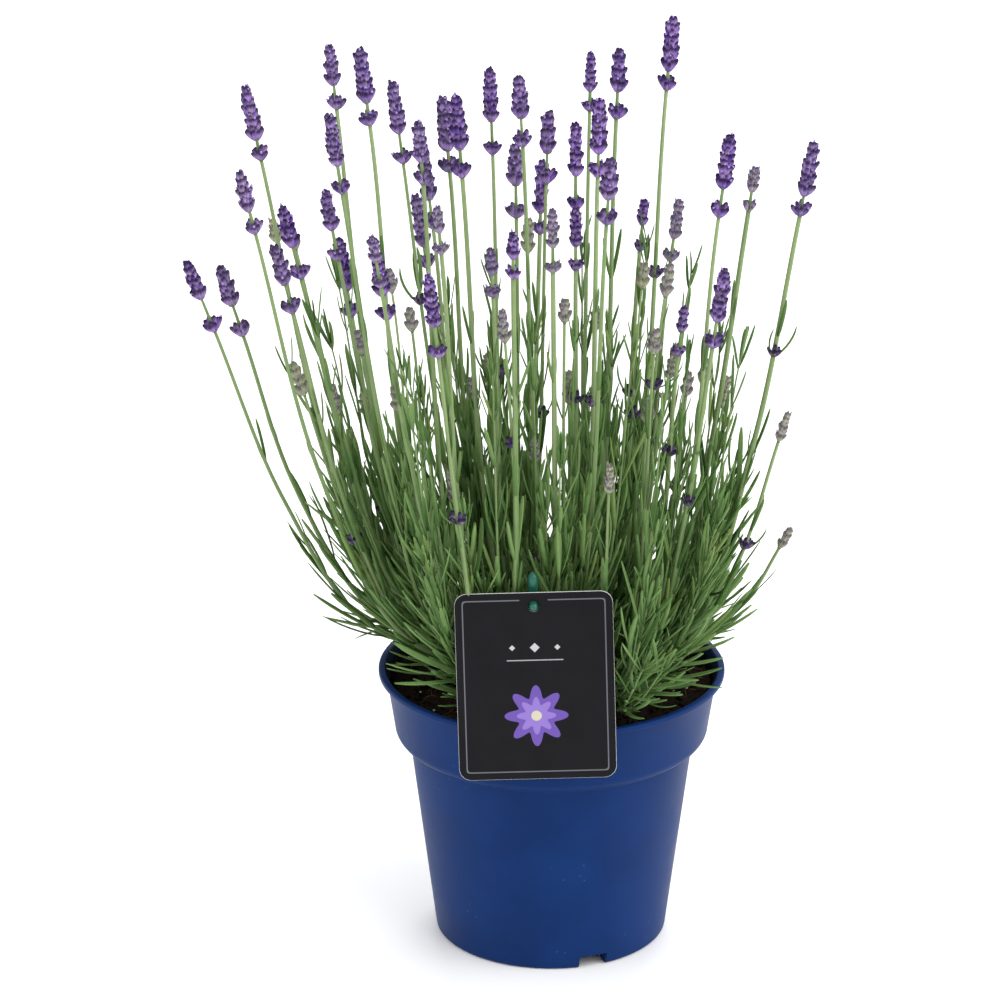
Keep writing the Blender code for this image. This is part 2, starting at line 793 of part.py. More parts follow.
def join(name, meshes, material, parts):
    """One closed body: the first mesh with the others united to it, and their objects removed."""
    extras = new_collection(name + " pieces")
    for k, mesh in enumerate(meshes[1:]):
        extras.objects.link(bpy.data.objects.new(f"{name}_piece_{k}", mesh))
    whole = bpy.data.objects.new(name, meshes[0])
    parts.objects.link(whole)
    union = whole.modifiers.new("join", "BOOLEAN")
    union.operation = "UNION"
    union.operand_type = "COLLECTION"
    union.collection = extras
    union.solver = "MANIFOLD"
    graph = bpy.context.evaluated_depsgraph_get()
    joined = bpy.data.meshes.new_from_object(whole.evaluated_get(graph))
    keep_outer_skin(joined)
    whole.modifiers.clear()
    whole.data = joined
    joined.name = name
    joined.materials.clear()
    joined.materials.append(material)
    for piece in list(extras.objects):
        bpy.data.objects.remove(piece)
    bpy.data.collections.remove(extras)
    return whole


def stump_mesh(foot):
    middle = 0.5 * (STUMP_FOOT + STUMP_TOP)
    bpy.ops.mesh.primitive_cone_add(
        vertices=STUMP_SIDES,
        radius1=STUMP_RADIUS,
        radius2=STUMP_TAPER * STUMP_RADIUS,
        depth=STUMP_TOP - STUMP_FOOT,
        location=(foot[0], foot[1], middle),
    )
    stump = bpy.context.object
    mesh = stump.data
    mesh.transform(stump.matrix_world)
    bpy.data.objects.remove(stump)
    return mesh


def label_pose():
    """The label's middle, its across, up and outward directions."""
    across = Vector((math.cos(LABEL_ROLL), 0.0, math.sin(LABEL_ROLL)))
    lean = Vector((0.0, math.sin(LABEL_LEAN), math.cos(LABEL_LEAN)))
    up = (lean - lean.dot(across) * across).normalized()
    return Vector(LABEL_MIDDLE), across, up, across.cross(up)


def eyelet_place():
    middle, _, up, _ = label_pose()
    return middle + (0.5 * LABEL_SIZE[1] - EYELET_DROP) * up


def rounded_outline(width, height, radius, steps=4):
    """A rectangle with round corners, anticlockwise."""
    corners = ((1, 1, 0), (-1, 1, 1), (-1, -1, 2), (1, -1, 3))
    outline = []
    for sx, sy, quarter in corners:
        centre = (sx * (0.5 * width - radius), sy * (0.5 * height - radius))
        for k in range(steps + 1):
            angle = 0.5 * math.pi * (quarter + k / steps)
            outline.append((centre[0] + radius * math.cos(angle), centre[1] + radius * math.sin(angle)))
    return outline


def make_label(parts, material):
    curve = bpy.data.curves.new("plant_label", "CURVE")
    curve.dimensions = "2D"
    curve.fill_mode = "BOTH"
    curve.extrude = 0.5 * LABEL_THICKNESS
    hole_drop = 0.5 * LABEL_SIZE[1] - EYELET_DROP
    hole = [
        (EYELET_RADIUS * math.cos(a), hole_drop + EYELET_RADIUS * math.sin(a))
        for a in np.linspace(0, 2 * math.pi, 12, endpoint=False)
    ]
    for outline in (rounded_outline(*LABEL_SIZE, LABEL_CORNER), hole):
        spline = curve.splines.new("POLY")
        spline.points.add(len(outline) - 1)
        spline.use_cyclic_u = True
        for corner, (x, y) in zip(spline.points, outline):
            corner.co = (x, y, 0.0, 1.0)
    label = new_object("plant_label", curve, parts, material)
    middle, across, up, outward = label_pose()
    label.location = middle
    label.rotation_euler = Matrix((across, up, outward)).transposed().to_euler()
    return label


def stake_line():
    """The stake's foot in the soil and its top, just behind the label."""
    _, _, up, outward = label_pose()
    behind = 0.5 * LABEL_THICKNESS + GAP + STAKE_RADIUS + 0.0006
    top = eyelet_place() + (EYELET_DROP + STAKE_TOP) * up - behind * outward
    foot = Vector((top.x + 0.002, top.y + 0.022, STAKE_FOOT))
    return foot, top


def make_stake(parts, material):
    foot, top = stake_line()
    outward = label_pose()[3]
    rod = tube_mesh("stake_rod", [foot, foot.lerp(top, 0.97), top], [1.0, 1.0, 0.55], STAKE_RADIUS, 2)
    eye = eyelet_place()
    root = foot.lerp(top, (eye.z - foot.z) / (top.z - foot.z))
    route = [root, eye + 0.0030 * outward, eye + 0.0042 * outward]
    peg = tube_mesh("stake_peg", route, [1.0, 1.0, 0.6], PEG_RADIUS, 2)
    return join("label_stake", [rod, peg], material, parts)


def green_pieces(feet, stalks, shoots):
    """The meshes of each bunch before its leaves, one list for the stump and for each stem."""
    bunches = [[[stump_mesh(foot)]] for foot in feet]
    for k, stem in enumerate(stalks + shoots):
        pieces = [stem_mesh(f"stem_{k}", [Vector(p) for p in stem["points"]])]
        if stem.get("kind") == "bud":
            foot = Vector(stem["points"][-1]) - SUNK * Vector(stem["axis"])
            head = head_mesh(f"bud_{k}", foot, Vector(stem["axis"]), "bud", stem["whorls"], 0.0)
            pieces.append(head)
        stem["place"] = len(bunches[stem["bunch"]])
        bunches[stem["bunch"]].append(pieces)
    return bunches


def leaf_choices(leaf):
    """Ways to set a leaf, best first: turned round its stem, then shorter as well."""
    for shrink in (1.0, 0.75):
        for twist in (0.0, 0.4, -0.4, 0.8, -0.8, 1.2, -1.2, 1.7, -1.7):
            yield twist, shrink * leaf["length"]


def add_leaves(bunches, stalks, shoots, obstacles):
    """Leaves up the shoots and stalks, each one set so that it touches only its own stem."""
    trees = [[tree_of(pieces) for pieces in stems] for stems in bunches]
    fixed = tree_of(obstacles)
    grown = 0
    plans = [(shoot, SHOOT_LEAVES, 0.15, 1.0) for shoot in shoots]
    plans += [(stalk, STALK_LEAVES, 0.18, 0.55) for stalk in stalks]
    for number, (stem, count, low, high) in enumerate(plans):
        draw = random.Random(SEED + 100 + number)
        top = stem["points"][-1][2] - FAN_BASE
        own = bunches[stem["bunch"]][stem["place"]]
        others = [fixed]
        for bunch, stems in enumerate(trees):
            for place, tree in enumerate(stems):
                if (bunch, place) != (stem["bunch"], stem["place"]):
                    others.append(tree)
        blades = []
        for leaf in leaf_plan(stem["points"], count, low * top, high * top, draw):
            for twist, length in leaf_choices(leaf):
                direction, outward = leaf_pose(leaf, twist)
                tip = leaf["root"] + length * (direction + LEAF_BOW * outward)
                if math.hypot(tip.x - FOLIAGE_CENTRE[0], tip.y - FOLIAGE_CENTRE[1]) > FOLIAGE_RADIUS:
                    continue
                size = (length, LEAF_WIDTH, LEAF_KEEL)
                probe = leaf_mesh("probe", leaf["root"], direction, outward, *size, 0.5 * CLEARANCE)
                tree = tree_of([probe])
                bpy.data.meshes.remove(probe)
                if not any(tree.overlap(other) for other in others):
                    grown += 1
                    blade = leaf_mesh(f"leaf_{grown}", leaf["root"], direction, outward, *size)
                    blades.append(blade)
                    break
        own += blades
        trees[stem["bunch"]][stem["place"]] = tree_of(own)
    return grown


def main():
    clear_scene()
    parts = new_collection("Potted lavender")
    cutters = new_collection("Cutters")
    materials = {name: new_material(name) for name in COLOURS}

    feet = bunch_feet()
    stalks = plan_stalks(feet)
    shoots = plan_shoots(feet, stalks)

    pot = make_pot(parts, cutters, materials["pot_blue"])
    label = make_label(parts, materials["card_black"])
    stake = make_stake(parts, materials["stake_green"])
    soil = make_soil(parts, cutters, feet, stake_line(), materials["soil_brown"])

    heads = []
    for stalk in stalks:
        if stalk["kind"] == "bud":
            continue
        axis = Vector(stalk["axis"])
        foot = Vector(stalk["points"][-1]) + GAP * axis
        name = f"spike_{len(heads) + 1:02d}"
        mesh = head_mesh(name, foot, axis, stalk["kind"], stalk["whorls"], stalk["drop"])
        heads.append(new_object(name, mesh, parts, materials["spike_violet"]))

    bpy.context.view_layer.update()
    obstacles = [evaluated_copy(thing) for thing in (pot, soil, label, stake)]
    obstacles += [head.data for head in heads]
    bunches = green_pieces(feet, stalks, shoots)
    grown = add_leaves(bunches, stalks, shoots, obstacles)
    for k, stems in enumerate(bunches):
        pieces = [mesh for stem in stems for mesh in stem]
        join(f"bunch_{k + 1:02d}", pieces, materials["stem_green"], parts)
    print(len(stalks), "stalks", len(shoots), "shoots", grown, "leaves")


main()
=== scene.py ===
"""Potted lavender: the finish of a flowering plant in its blue nursery pot.

Every piece is a surface worked out on a grid and laid over the solids of the frame: the same stumps,
stalks, shoots and spikes, found by the same rule and the same seed, with the leaves, calyces, crumbs
and print that the solids leave out.
"""

import functools
import math
import random

import bpy
import numpy as np
from bpy.props import FloatProperty, FloatVectorProperty, IntProperty, PointerProperty
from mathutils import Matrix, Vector


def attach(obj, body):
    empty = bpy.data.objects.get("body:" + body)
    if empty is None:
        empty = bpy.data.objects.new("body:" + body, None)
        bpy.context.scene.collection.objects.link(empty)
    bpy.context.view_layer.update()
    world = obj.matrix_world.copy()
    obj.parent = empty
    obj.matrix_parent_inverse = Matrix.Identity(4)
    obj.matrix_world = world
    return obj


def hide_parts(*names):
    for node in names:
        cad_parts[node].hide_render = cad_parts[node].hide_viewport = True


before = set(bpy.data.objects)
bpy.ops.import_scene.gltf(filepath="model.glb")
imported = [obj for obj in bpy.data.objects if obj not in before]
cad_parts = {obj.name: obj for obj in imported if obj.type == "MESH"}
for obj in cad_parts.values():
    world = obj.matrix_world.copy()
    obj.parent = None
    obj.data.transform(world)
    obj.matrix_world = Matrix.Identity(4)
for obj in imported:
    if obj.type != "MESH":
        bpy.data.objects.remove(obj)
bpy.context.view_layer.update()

bl_info = {
    "name": "Potted Lavender",
    "version": (1, 0, 0),
    "blender": (4, 5, 0),
    "location": "View3D > Sidebar > Lavender",
    "description": "Grows the leaves, flowers, pot, soil and label of a potted lavender",
    "category": "Add Mesh",
}

# --- The plan, shared with the solids ---------------------------------------------------------

POT_HEIGHT = 0.1545
RIM_RADIUS = 0.095
LIP_DEPTH = 0.003
LIP_WIDTH = 0.0038
COLLAR_TOP_RADIUS = 0.0907
COLLAR_FOOT = (0.0862, 0.1210)
SHOULDER = (0.0838, 0.1160)
STEP = (0.0778, 0.1125)
FOOT_RADIUS = 0.0636
WALL = 0.0015
FLARE_DEPTH = 0.0038
INSIDE_RISE = 0.0007
INSIDE_STEPS = (0.0022, 0.0016, 0.0018)
FLOOR_RISE = 0.0040
FOOT_RING_INNER = 0.0556
CENTRE_PAD = 0.0215
DRAIN_COUNT = 3
DRAIN_SIZE = (0.016, 0.020, 0.014)
DRAIN_BEARING = math.radians(-69)
SOIL_EDGE = 0.1430
SOIL_CROWN = 0.1460

BUNCHES = 12
CROWN_RADIUS = 0.058
STUMP_RADIUS = 0.0042
STUMP_FOOT = 0.1185
STUMP_TOP = 0.1560
GOLDEN_ANGLE = math.pi * (3 - math.sqrt(5))
FAN_BASE = 0.1510
REACH = 0.380
BOW = 0.45
FAN_SPREAD = 3.3
WIDE = 0.070
WIDE_STOPS = (0.0, 0.10, 0.42, 1.0)
STALK_STOPS = (0.0, 0.16, 1.0)
SHOOT_STOPS = (0.0, 0.25, 1.0)
SWAY = 0.0025
LEAD_STALKS = (
    (-0.195, -0.015, 0.393, "full"),
    (-0.180, 0.035, 0.373, "full"),
    (-0.164, 0.020, 0.479, "full"),
    (-0.165, -0.040, 0.451, "full"),
    (-0.120, 0.050, 0.494, "full"),
    (-0.102, -0.010, 0.509, "full"),
    (-0.117, -0.060, 0.489, "full"),
    (-0.122, 0.010, 0.425, "full"),
    (-0.086, 0.030, 0.480, "full"),
    (-0.071, -0.045, 0.480, "full"),
    (-0.052, 0.010, 0.477, "full"),
    (-0.034, 0.060, 0.478, "full"),
    (-0.020, -0.010, 0.493, "full"),
    (-0.002, 0.070, 0.450, "full"),
    (0.021, 0.045, 0.492, "young"),
    (0.024, -0.030, 0.487, "full"),
    (0.035, 0.015, 0.501, "full"),
    (0.064, 0.040, 0.512, "full"),
    (0.029, -0.075, 0.469, "full"),
    (0.051, 0.085, 0.397, "young"),
    (0.069, 0.055, 0.406, "young"),
    (0.093, -0.020, 0.465, "full"),
    (0.110, 0.050, 0.427, "young"),
    (0.139, 0.010, 0.451, "full"),
    (0.089, -0.070, 0.407, "full"),
    (-0.059, 0.045, 0.466, "full"),
    (-0.071, 0.035, 0.440, "full"),
    (-0.147, -0.040, 0.411, "full"),
    (-0.144, -0.005, 0.420, "full"),
    (-0.117, 0.080, 0.375, "full"),
    (-0.095, -0.080, 0.430, "young"),
    (-0.093, -0.055, 0.409, "full"),
    (-0.075, 0.100, 0.394, "full"),
    (-0.061, -0.090, 0.449, "young"),
    (-0.065, -0.120, 0.421, "full"),
    (-0.020, 0.110, 0.419, "full"),
    (-0.022, -0.110, 0.443, "young"),
    (-0.005, 0.130, 0.404, "full"),
    (-0.001, -0.060, 0.438, "young"),
    (0.012, 0.020, 0.460, "full"),
    (0.012, -0.005, 0.421, "young"),
    (0.070, -0.020, 0.371, "young"),
    (0.068, 0.040, 0.330, "young"),
    (-0.034, -0.025, 0.404, "young"),
    (-0.152, 0.030, 0.407, "bud"),
    (-0.143, 0.045, 0.398, "bud"),
    (-0.088, -0.030, 0.399, "bud"),
    (-0.141, -0.010, 0.340, "bud"),
    (-0.122, 0.020, 0.319, "bud"),
    (-0.107, 0.030, 0.343, "bud"),
    (-0.078, 0.015, 0.362, "bud"),
    (-0.028, -0.060, 0.388, "bud"),
    (-0.013, 0.055, 0.401, "bud"),
    (0.006, -0.035, 0.384, "bud"),
    (0.050, 0.020, 0.385, "bud"),
    (0.063, -0.020, 0.400, "bud"),
    (0.054, -0.055, 0.373, "bud"),
    (0.085, 0.030, 0.326, "bud"),
    (0.099, 0.070, 0.306, "bud"),
    (0.128, -0.030, 0.321, "bud"),
    (0.134, 0.020, 0.232, "bud"),
)
FILL_BUDS = 11
FILL_CENTRE = (-0.022, 0.0)
FILL_RADII = (0.158, 0.150)
FILL_HEIGHTS = (0.310, 0.370)
FILL_DIP = 0.045
TIP_STEPS = (0.0011, 0.0024, 0.0007)
STALK_MARGIN = 0.004
STALK_TRIES = 80
SEED = 41
SEEDS = {"soil": 11, "stems": SEED + 200, "leaves": SEED + 300, "heads": SEED + 500, "nodes": SEED + 900}
WHORL_PITCH = 0.0070
APEX_RISE = 0.0022
HEADS = {
    "full": {"whorls": (3, 4), "radius": 0.0059, "drops": (0.003, 0.013)},
    "young": {"whorls": (2, 3), "radius": 0.0044, "drops": (0.002, 0.008)},
    "bud": {"whorls": (2, 3), "radius": 0.0038, "drops": (0.0, 0.0)},
}
HEADS_APART = 0.001
HEAD_ROOM = 0.0022
STEM_ROOM = 0.0036
CARD_ROOM = 0.004
CARD_BACK = 0.003
STAKE_ROOM = 0.0024
SHOOTS_PER_BUNCH = 2
SHOOT_SPREAD = (0.012, 0.050)
SHOOT_MARGIN = 0.006
SHOOT_HEIGHTS = (0.060, 0.125)
SHOOT_TRIES = 60
FOLIAGE_CENTRE = (-0.016, 0.0)
FOLIAGE_RADIUS = 0.145
SHOOT_ROOM = 0.0020
SHOOT_INSET = 0.014

LABEL_SIZE = (0.084, 0.104)
LABEL_THICKNESS = 0.0008
LABEL_CORNER = 0.0065
LABEL_MIDDLE = (-0.0093, -0.0941, 0.1818)
LABEL_LEAN = math.radians(5.0)
LABEL_ROLL = math.radians(1.6)
EYELET_RADIUS = 0.0032
EYELET_DROP = 0.0075
STAKE_RADIUS = 0.0030
STAKE_FOOT = 0.0945
STAKE_TOP = 0.0095
STAKE_GAP = 0.0009
STAKE_LEAN = (0.002, 0.022)
PEG_RADIUS = 0.0023


def bunch_feet():
    """The stumps' places: a sunflower spiral over the crown."""
    turns = np.arange(BUNCHES)
    radii = CROWN_RADIUS * np.sqrt((turns + 0.5) / BUNCHES)
    return np.stack([radii * np.cos(turns * GOLDEN_ANGLE), radii * np.sin(turns * GOLDEN_ANGLE)], 1)


def fan(height):
    """The share of its full spread that a stem has at a height above the fan's base."""
    return (max(height, 0.0) / REACH) ** BOW


def nearest_bunch(feet, aim):
    """The bunch whose widened foot is nearest to where a stem is bound, and how clear the choice is."""
    gaps = [float(np.linalg.norm(aim - FAN_SPREAD * foot)) for foot in feet]
    order = sorted(range(len(feet)), key=lambda k: gaps[k])
    return order[0], gaps[order[1]] - gaps[order[0]]


def stem_points(foot, aim, height, stops, sway=0.0):
    """The corners of a stem from its stump: the fan law, with a slight sway."""
    points = []
    for share in stops:
        flat = foot + (aim - foot) * fan(share * height) + sway * math.sin(math.pi * share)
        points.append(np.array([flat[0], flat[1], FAN_BASE + share * height]))
    return points


def samples(points, step=0.004):
    """Points along a run of straight stretches, about a step apart."""
    found = []
    for a, b in zip(points[:-1], points[1:]):
        count = max(2, int(np.linalg.norm(b - a) / step))
        found.append(a + (b - a) * np.linspace(0, 1, count, endpoint=False)[:, None])
    return np.concatenate(found + [points[-1][None, :]])


def closest(first, second):
    """The least distance between two sets of points."""
    return float(np.sqrt(((first[:, None, :] - second[None, :, :]) ** 2).sum(2)).min())


def head_length(whorls, drop):
    """A head's length: its whorls, the gap under them where the lowest stands apart, and its tip."""
    return (whorls + (1 if drop > 0 else 0)) * WHORL_PITCH + drop + APEX_RISE


@functools.lru_cache
def label_pose():
    """The label's middle and its across, up and outward directions."""
    across = np.array([math.cos(LABEL_ROLL), 0.0, math.sin(LABEL_ROLL)])
    lean = np.array([0.0, math.sin(LABEL_LEAN), math.cos(LABEL_LEAN)])
    up = lean - (lean @ across) * across
    up = up / np.linalg.norm(up)
    return np.array(LABEL_MIDDLE), across, up, np.cross(across, up)


def stake_line():
    """The stake's foot in the soil, its top just behind the label, and the middle of the eyelet."""
    middle, _, up, outward = label_pose()
    eye = middle + (0.5 * LABEL_SIZE[1] - EYELET_DROP) * up
    behind = 0.5 * LABEL_THICKNESS + STAKE_GAP + STAKE_RADIUS
    top = eye + (EYELET_DROP + STAKE_TOP) * up - behind * outward
    foot = np.array([top[0] + STAKE_LEAN[0], top[1] + STAKE_LEAN[1], STAKE_FOOT])
    return foot, top, eye


def card_room(run):
    """True for each point that is off the label and out of the space in front of it."""
    middle, across, up, outward = label_pose()
    offset = run - middle
    beside = np.abs(offset @ across) > 0.5 * LABEL_SIZE[0] + CARD_ROOM
    above = np.abs(offset @ up) > 0.5 * LABEL_SIZE[1] + CARD_ROOM
    behind = offset @ outward < -CARD_BACK
    return beside | above | behind


def clears_card(run):
    """Whether a run of points keeps clear of the label and of its stake."""
    stake = samples(stake_line()[:2])
    return bool(card_room(run).all()) and closest(run, stake) > STAKE_RADIUS + STAKE_ROOM


def fits(new, placed):
    """Whether a stalk's head and stem keep clear of the other heads and of other bunches' stems."""
    if not clears_card(new["stem"]) or not clears_card(new["head"]):
        return False
    for old in placed:
        if closest(new["head"], old["head"]) < new["radius"] + old["radius"] + HEADS_APART:
            return False
        if closest(new["head"], old["stem"]) < new["radius"] + HEAD_ROOM:
            return False
        if closest(new["stem"], old["head"]) < old["radius"] + HEAD_ROOM:
            return False
        if old["bunch"] != new["bunch"] and closest(new["stem"], old["stem"]) < STEM_ROOM:
            return False
    return True


def make_stalk(feet, tip, kind, draw):
    """A stalk whose head ends at tip: its bunch, its corners, and its head."""
    whorls = draw.randint(*HEADS[kind]["whorls"])
    drop = draw.uniform(*HEADS[kind]["drops"])
    length = head_length(whorls, drop)
    flat = np.array(tip[:2])
    aim = flat / fan(tip[2] - FAN_BASE)
    bunch, margin = nearest_bunch(feet, aim)
    foot = feet[bunch]
    sway = SWAY * np.array([draw.uniform(-1, 1), draw.uniform(-1, 1)])
    height = tip[2] - FAN_BASE
    aim = foot + (flat - foot) / fan(height)
    stops = WIDE_STOPS if np.linalg.norm(flat - foot) > WIDE else STALK_STOPS
    whole = stem_points(foot, aim, height, stops, sway)
    leaning = whole[-1] - whole[-2]
    leaning = leaning / np.linalg.norm(leaning)
    base = whole[-1] - length * leaning
    stem = whole[:-1] + [base]
    return {
        "bunch": bunch,
        "margin": margin,
        "kind": kind,
        "whorls": whorls,
        "drop": drop,
        "points": stem,
        "axis": leaning,
        "radius": HEADS[kind]["radius"],
        "stem": samples(stem[1:]),
        "head": samples([base, whole[-1]], 0.003),
    }


def wanted_tips(draw):
    """The chosen stalks, then short ones spread over the crown by the golden angle."""
    tips = [((x, y, z), kind) for x, y, z, kind in LEAD_STALKS]
    for k in range(FILL_BUDS):
        share = math.sqrt((k + 0.5) / FILL_BUDS)
        bearing = k * GOLDEN_ANGLE
        x = FILL_CENTRE[0] + FILL_RADII[0] * share * math.cos(bearing)
        y = FILL_CENTRE[1] + FILL_RADII[1] * share * math.sin(bearing)
        z = draw.uniform(*FILL_HEIGHTS) - FILL_DIP * share * share
        squeeze = fan(z - FAN_BASE)
        tips.append(((x * squeeze, y * squeeze, z), "bud"))
    return tips


@functools.lru_cache
def plan_stalks():
    """Every stalk in turn, moved a little further at each try until it is clear of the others."""
    feet = bunch_feet()
    draw = random.Random(SEED)
    placed = []
    for tip, kind in wanted_tips(draw):
        for attempt in range(STALK_TRIES):
            moved = [
                place + attempt * step * draw.uniform(-1, 1) for place, step in zip(tip, TIP_STEPS)
            ]
            stalk = make_stalk(feet, moved, kind, draw)
            if stalk["margin"] > STALK_MARGIN and fits(stalk, placed):
                placed.append(stalk)
                break
        else:
            raise RuntimeError("no clear place for a stalk near " + str(tip))
    return placed


def plan_shoots(per_bunch, seed, room, heights=SHOOT_HEIGHTS):
    """Leafy shoots of each bunch: the fan law towards a place near the bunch's own middle. Each keeps
    the given room to the stalks of other bunches."""
    feet = bunch_feet()
    placed = plan_stalks()
    draw = random.Random(seed)
    shoots = []
    for bunch, foot in enumerate(feet):
        for _ in range(per_bunch):
            for _ in range(SHOOT_TRIES):
                bearing = draw.uniform(0, 2 * math.pi)
                way = np.array([math.cos(bearing), math.sin(bearing)])
                aim = FAN_SPREAD * foot + draw.uniform(*SHOOT_SPREAD) * way
                chosen, margin = nearest_bunch(feet, aim)
                height = draw.uniform(*heights)
                points = stem_points(foot, aim, height, SHOOT_STOPS)
                run = samples(points[1:])
                clear = all(
                    closest(run, old["stem"]) > room for old in placed if old["bunch"] != bunch
                )
                if chosen == bunch and margin > SHOOT_MARGIN and clear and clears_card(run):
                    shoots.append({"bunch": bunch, "points": points})
                    break
    return shoots


# --- Sizes and colours that a user may change -------------------------------------------------


def length_setting(name, text, default):
    """A length that a user may change."""
    return FloatProperty(name=name, description=text, default=default, min=0, unit="LENGTH", precision=5)


def colour_setting(name, text, default):
    """A colour that a user may change."""
    return FloatVectorProperty(
        name=name, description=text, default=default, size=3, min=0.0, max=1.0, subtype="COLOR"
    )


def count_setting(name, text, default, least=0):
    """A number of things that a user may change."""
    return IntProperty(name=name, description=text, default=default, min=least)


class PotSettings(bpy.types.PropertyGroup):
    body: colour_setting("Plastic", "Colour of the moulded plastic", (0.0043, 0.0262, 0.1200))
    scuff: colour_setting("Scuffs", "Colour of rubbed spots and dust", (0.055, 0.100, 0.240))
    gloss: FloatProperty(name="Roughness", description="How dull the plastic is", default=0.42, min=0, max=1)
    segments: count_setting("Segments", "Steps round the pot", 160, 32)


class SoilSettings(bpy.types.PropertyGroup):
    dark: colour_setting("Damp peat", "Colour of the damp peat", (0.0020, 0.0016, 0.0012))
    pale: colour_setting("Dry peat", "Colour of the dry crumbs", (0.038, 0.022, 0.013))
    crumb: length_setting("Crumb", "Radius of the biggest crumbs", 0.0022)
    crumbs: count_setting("Crumbs", "How many loose crumbs lie on top", 1000)
    fibres: count_setting("Fibres", "How many fibres lie on top", 130)
    speck: colour_setting("Specks", "Colour of the pale mineral specks", (0.42, 0.40, 0.35))
    fibre: colour_setting("Fibre", "Colour of the fibres", (0.115, 0.060, 0.030))


class LabelSettings(bpy.types.PropertyGroup):
    card: colour_setting("Card", "Colour of the printed face", (0.0032, 0.0032, 0.0048))
    edge: colour_setting("Edge", "Colour of the cut edge", (0.78, 0.78, 0.80))
    line: colour_setting("Frame line", "Colour of the thin frame", (0.135, 0.137, 0.160))
    motif: colour_setting("Rosette", "Colour of the printed rosette", (0.135, 0.078, 0.350))
    inset: length_setting("Frame inset", "From the card's edge to its frame line", 0.0042)


class StemSettings(bpy.types.PropertyGroup):
    foot: length_setting("Foot radius", "Radius of a stalk at its foot", 0.00165)
    top: length_setting("Top radius", "Radius of a stalk under its head", 0.00112)
    pale: colour_setting("Lit green", "Colour of the ridges and upper stalks", (0.300, 0.385, 0.185))
    deep: colour_setting("Deep green", "Colour low on the stalks", (0.085, 0.170, 0.042))


class LeafSettings(bpy.types.PropertyGroup):
    longest: length_setting("Longest", "Length of the longest leaves", 0.050)
    width: length_setting("Width", "Width of a full-grown leaf", 0.0029)
    shoots: count_setting("More shoots", "Leafy shoots added to each bunch", 6)
    skirt: count_setting("Low shoots", "Short, low shoots added to each bunch", 3)
    tall: count_setting("Tall shoots", "Tall, upright shoots added to each bunch", 5)
    pale: colour_setting("Grey green", "Colour of downy leaves", (0.200, 0.325, 0.112))
    deep: colour_setting("Deep green", "Colour of shaded leaves", (0.013, 0.066, 0.004))


class FlowerSettings(bpy.types.PropertyGroup):
    calyx: length_setting("Calyx", "Length of a calyx", 0.0074)
    girth: length_setting("Girth", "Radius of a calyx", 0.00142)
    violet: colour_setting("Violet", "Colour of a ripe calyx", (0.145, 0.057, 0.410))
    mauve: colour_setting("Mauve", "Colour of a lit, downy calyx", (0.490, 0.290, 0.800))
    taupe: colour_setting("Taupe", "Colour of a faded calyx and of bracts", (0.370, 0.290, 0.330))
    green: colour_setting("Unripe", "Colour of a head that isn't open yet", (0.440, 0.475, 0.275))
    dark: colour_setting("Mouth", "Colour of the mouths and gaps between calyces", (0.011, 0.006, 0.028))


class StudioSettings(bpy.types.PropertyGroup):
    distance: length_setting("Distance", "From the camera to what it looks at", 3.0)
    elevation: FloatProperty(
        name="Elevation",
        description="Angle of the view above level",
        default=math.radians(21),
        subtype="ANGLE",
    )
    lens: FloatProperty(name="Lens", description="Focal length", default=199.0, min=10.0, unit="CAMERA")
    key: FloatProperty(name="Key", description="Power of the key light", default=72.0, min=0, unit="POWER")
    sky: FloatProperty(name="Sky", description="Strength of the light all round", default=0.88, min=0)


SETTINGS = {
    "lavender_pot": PotSettings,
    "lavender_soil": SoilSettings,
    "lavender_label": LabelSettings,
    "lavender_stem": StemSettings,
    "lavender_leaf": LeafSettings,
    "lavender_flower": FlowerSettings,
    "lavender_studio": StudioSettings,
}


# --- Surfaces ---------------------------------------------------------------------------------


def unit(vectors):
    """Vectors of length one, along the last axis."""
    return vectors / np.linalg.norm(vectors, axis=-1, keepdims=True)


def full_turn(steps):
    """Evenly spaced angles round a full turn."""
    return 2 * np.pi * np.arange(steps) / steps


def ease(value, low, high):
    """A smooth step from 0 at low to 1 at high: 3t^2 - 2t^3."""
    t = np.clip((value - low) / (high - low), 0.0, 1.0)
    return t * t * (3 - 2 * t)


def make_piece(name, points, faces, marks=None, uv=None, smooth=True):
    """A mesh object from points and arrays of corner numbers, one array for each number of sides.
    marks are named values at the points, and uv is a pair of values at each point."""
    corners = np.concatenate([f.ravel() for f in faces]).astype(np.int32)
    sides = np.concatenate([np.full(len(f), f.shape[1]) for f in faces])
    mesh = bpy.data.meshes.new(name)
    mesh.vertices.add(len(points))
    mesh.vertices.foreach_set("co", np.ascontiguousarray(points, np.float32).ravel())
    mesh.loops.add(len(corners))
    mesh.loops.foreach_set("vertex_index", corners)
    mesh.polygons.add(len(sides))
    mesh.polygons.foreach_set("loop_start", (np.cumsum(sides) - sides).astype(np.int32))
    mesh.polygons.foreach_set("use_smooth", np.full(len(sides), smooth))
    for mark, values in (marks or {}).items():
        layer = mesh.attributes.new(mark, "FLOAT", "POINT")
        layer.data.foreach_set("value", np.ascontiguousarray(values, np.float32).ravel())
    if uv is not None:
        layer = mesh.uv_layers.new(name="Print")
        layer.data.foreach_set("uv", np.ascontiguousarray(uv[corners], np.float32).ravel())
    mesh.update(calc_edges=True)
    mesh.validate()
    piece = bpy.data.objects.new(name, mesh)
    bpy.context.scene.collection.objects.link(piece)
    return piece


